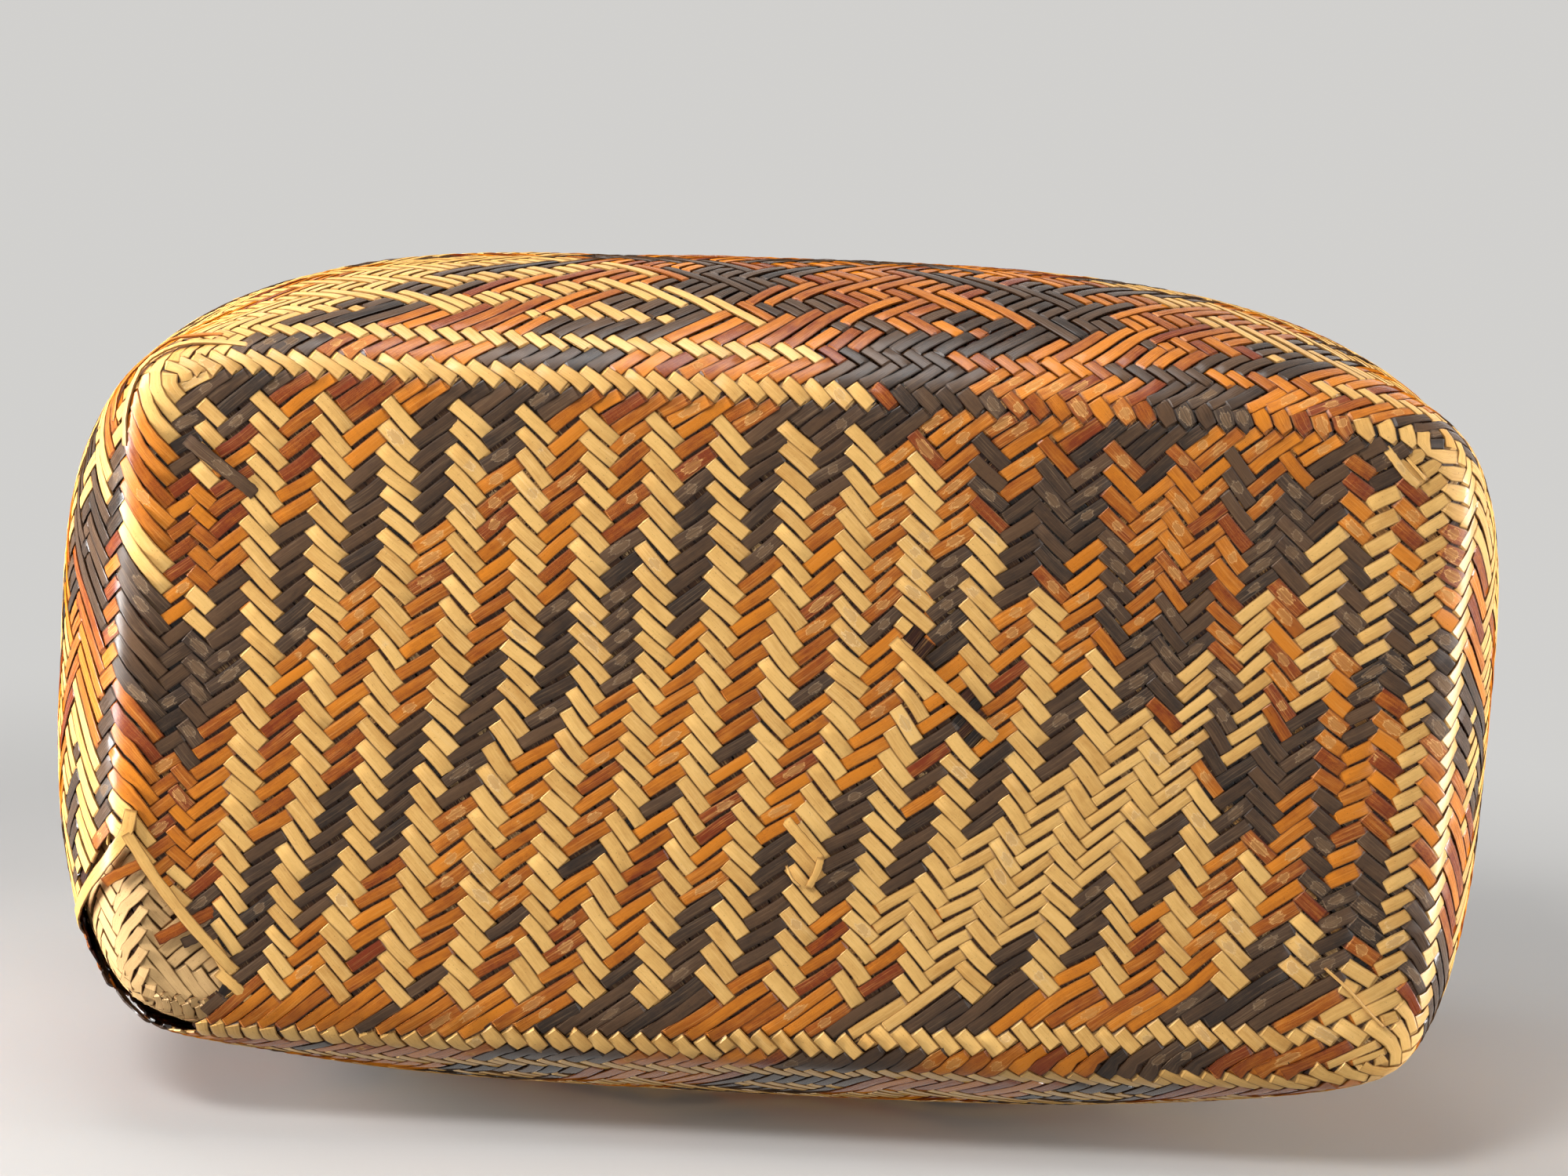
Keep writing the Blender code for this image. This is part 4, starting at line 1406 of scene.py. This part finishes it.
def folded_edge(name, form, family, dye):
    """Bends over an edge, one for each cane end: a half ellipse between the two layers' middles."""
    ends = cane_ends(family)
    climb = form["climb"]
    way = np.concatenate([ends["first_way"], ends["last_way"]])
    q = np.concatenate([ends["first"], ends["last"]]) + way * climb
    strip = np.repeat(np.arange(len(q)), FOLD_SAMPLES)
    number = np.tile(ends["number"], 2)[strip]
    share = np.tile(np.linspace(0, 1, FOLD_SAMPLES), len(q))
    angle = np.pi * share
    travel = way[strip] * (share - 0.5) * FOLD_TRAVEL
    here, normal = wall_place(form, q[strip] + travel, np.full(len(strip), float(climb)))
    away = np.array([0.0, 0.0, float(form["direction"])])
    over = np.where(way[strip] < 0, 1.0, -1.0) * WEAVE_HEIGHT
    reach = (INNER_DEPTH - OUTER_DEPTH) / 2 + over
    out = (np.cos(angle) * reach - (OUTER_DEPTH + INNER_DEPTH) / 2)[:, None] * normal
    up = (FOLD_SEAT + np.sin(angle) * (FOLD_RISE + over))[:, None] * away
    facing = unit(np.cos(angle)[:, None] * normal + np.sin(angle)[:, None] * away)
    points = rippled(here, normal) + out + up
    side = np.where(strip < len(q) / 2, -STEPS_LONG, STEPS_LONG)
    slot = dye(family, number, side, np.zeros(len(strip), bool))
    spot = ((share - 0.5) * FOLD_LENGTH, FOLD_LENGTH, scatter(strip, FLOAT_SEED))
    return finished_strips(name, points, facing, strip, np.full(len(strip), FOLD_WIDTH),
                           share * FOLD_LENGTH + strip * FOLD_LENGTH, scatter(number, CANE_SEEDS[family]),
                           spot, 0.0, FOLD_WEAR, slot, sharp_from=FOLD_SHARP_FROM)


for family in (FALLING, RISING):
    edge = folded_edge(f"mouth_bends_{family}", basket_form, family, basket_dye)
    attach(edge, "basket")
    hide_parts("mouth_fold")
    edge = folded_edge(f"lid_bends_{family}", lid_form, family, lid_dye)
    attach(edge, "lid")
    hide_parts("lid_fold")

# %% [markdown]
# ## Stage
#
# The picture was taken with the basket laid on its long side on a pale table. Here the part stands
# on its base instead and the camera goes below it, so that table is a sheet behind the basket's
# back, and a floor lies under the base for the views from above. Both are seen from one side only
# and by the camera only, so they take the basket's shadow but throw none and hide nothing.

# %% Table, floor and world
scene = bpy.context.scene
scene.view_settings.view_transform = "Standard"
PALE = (0.80, 0.79, 0.77)
SHEET_REACH = 4.0
TABLE_NEAR = -1.0
TABLE_PLACE = 0.1365
FLOOR_DROP = 0.5 * MILLIMETRE
WORLD_STRENGTH = 0.22
BACKDROP_STRENGTH = 0.80
FADE_FROM = 0.34
FADE_TO = 0.85
PAPER_ROUGHNESS = 0.9
PAPER_SHINE = 0.1


def one_sided_paper(name, paper):
    """Matt paper that fades into the plain backdrop away from the basket and is clear from behind."""
    material = bpy.data.materials.new(name)
    material.use_nodes = True
    tree = material.node_tree
    shader = tree.nodes["Principled BSDF"]
    shader.inputs["Base Color"].default_value = (*paper, 1.0)
    shader.inputs["Roughness"].default_value = PAPER_ROUGHNESS
    shader.inputs["Specular IOR Level"].default_value = PAPER_SHINE
    glow = {"Color": (*PALE, 1.0), "Strength": BACKDROP_STRENGTH}
    plain_light = add_node(tree, "ShaderNodeEmission", values=glow)
    place = add_node(tree, "ShaderNodeTexCoord").outputs["Object"]
    distance = add_node(tree, "ShaderNodeVectorMath", links={0: place}, operation="LENGTH").outputs["Value"]
    far = step_between(tree, distance, FADE_FROM, FADE_TO)
    near_and_far = {0: far, 1: shader.outputs[0], 2: plain_light.outputs[0]}
    faded = add_node(tree, "ShaderNodeMixShader", links=near_and_far)
    clear = add_node(tree, "ShaderNodeBsdfTransparent")
    back = add_node(tree, "ShaderNodeNewGeometry")
    sides = {0: back.outputs["Backfacing"], 1: faded.outputs[0], 2: clear.outputs[0]}
    mixed = add_node(tree, "ShaderNodeMixShader", links=sides)
    tree.links.new(mixed.outputs[0], tree.nodes["Material Output"].inputs["Surface"])
    return material


def paper_sheet(name, paper, corners):
    """A stage sheet through four corners, front side where they run anticlockwise."""
    mesh = bpy.data.meshes.new(name)
    mesh.from_pydata(corners, [], [range(len(corners))])
    sheet = object_for(name, mesh)
    mesh.materials.append(one_sided_paper(f"{name}_paper", paper))
    sheet.visible_shadow = False
    sheet.visible_diffuse = False
    sheet.visible_glossy = False
    sheet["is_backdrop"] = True


FLOOR_PAPER = (0.80, 0.79, 0.77)
TABLE_PAPER = (0.50, 0.49, 0.48)
LEFT, RIGHT = -SHEET_REACH, SHEET_REACH
paper_sheet("floor", FLOOR_PAPER, [(x, y, -FLOOR_DROP) for x, y in
                                   ((LEFT, LEFT), (RIGHT, LEFT), (RIGHT, RIGHT), (LEFT, RIGHT))])
paper_sheet("table", TABLE_PAPER, [(x, TABLE_PLACE, z) for x, z in
                                   ((LEFT, TABLE_NEAR), (RIGHT, TABLE_NEAR), (RIGHT, RIGHT), (LEFT, RIGHT))])

world = bpy.data.worlds.new("studio")
scene.world = world
world.use_nodes = True
sky = world.node_tree
background = sky.nodes["Background"]
background.inputs["Color"].default_value = (*PALE, 1.0)
rays = add_node(sky, "ShaderNodeLightPath")
seen = total(sky, *(rays.outputs[f"Is {kind} Ray"] for kind in ("Camera", "Glossy", "Transmission")))
seen = calculate(sky, "MINIMUM", seen, 1.0)
strength = total(sky, product(sky, seen, BACKDROP_STRENGTH - WORLD_STRENGTH), WORLD_STRENGTH)
sky.links.new(strength, background.inputs["Strength"])

# %% [markdown]
# The light is that of a small studio: a key lamp above and to the left of the camera, a weaker
# one on its right, a long strip on either side that draws the bright lines down the glossy end
# walls, and a lamp over the front wall. Two more, over the lid and behind, light the sides that
# the picture doesn't show.


# %% Lamps
MIDDLE = (0.0, 0.0, 0.1)
STEEP = 0.9
WIDE_BEAM = math.pi
NARROW_BEAM = math.radians(60)
LAMPS = (
    ("key", (-0.6, -1.0, -0.9), (0.4, 0.4), 16.5, WIDE_BEAM),
    ("fill", (1.1, -0.3, -0.8), (0.7, 0.7), 7.5, WIDE_BEAM),
    ("left_strip", (-1.0, -0.1, -0.1), (0.8, 0.12), 3.8, NARROW_BEAM),
    ("right_strip", (1.1, 0.0, 0.0), (0.6, 0.12), 2.0, NARROW_BEAM),
    ("over_table", (-0.2, -1.2, 0.2), (0.9, 0.5), 8.0, WIDE_BEAM),
    ("over_lid", (0.3, 0.2, 1.7), (1.8, 1.8), 14.0, WIDE_BEAM),
    ("behind", (-1.1, 1.0, 0.1), (2.0, 1.4), 4.5, WIDE_BEAM),
)


def look_frame(away):
    """A frame whose third axis points away from the target."""
    third = away / np.linalg.norm(away)
    helper = np.array([0.0, 1.0, 0.0]) if abs(third[2]) > STEEP else np.array([0.0, 0.0, 1.0])
    first = unit(np.cross(helper, third))
    return np.stack([first, np.cross(third, first), third], 1).tolist()


def area_lamp(name, place, size, power, beam):
    """A rectangular soft lamp, turned towards the middle of the basket."""
    lamp = bpy.data.objects.new(name, bpy.data.lights.new(name, "AREA"))
    lamp.data.shape = "RECTANGLE"
    lamp.data.size, lamp.data.size_y = size
    lamp.data.energy = power
    lamp.data.spread = beam
    lamp.location = place
    lamp.rotation_euler = Matrix(look_frame(np.array(place) - np.array(MIDDLE))).to_euler()
    scene.collection.objects.link(lamp)


for name, place, size, power, beam in LAMPS:
    area_lamp(name, place, size, power, beam)
print("stage and lamps set")

# %% [markdown]
# Last, the box of all that was built is put beside the box of the solids.

# %% Put the sizes side by side
size = {"cad": cad_box, "visual": plain_list(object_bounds())}
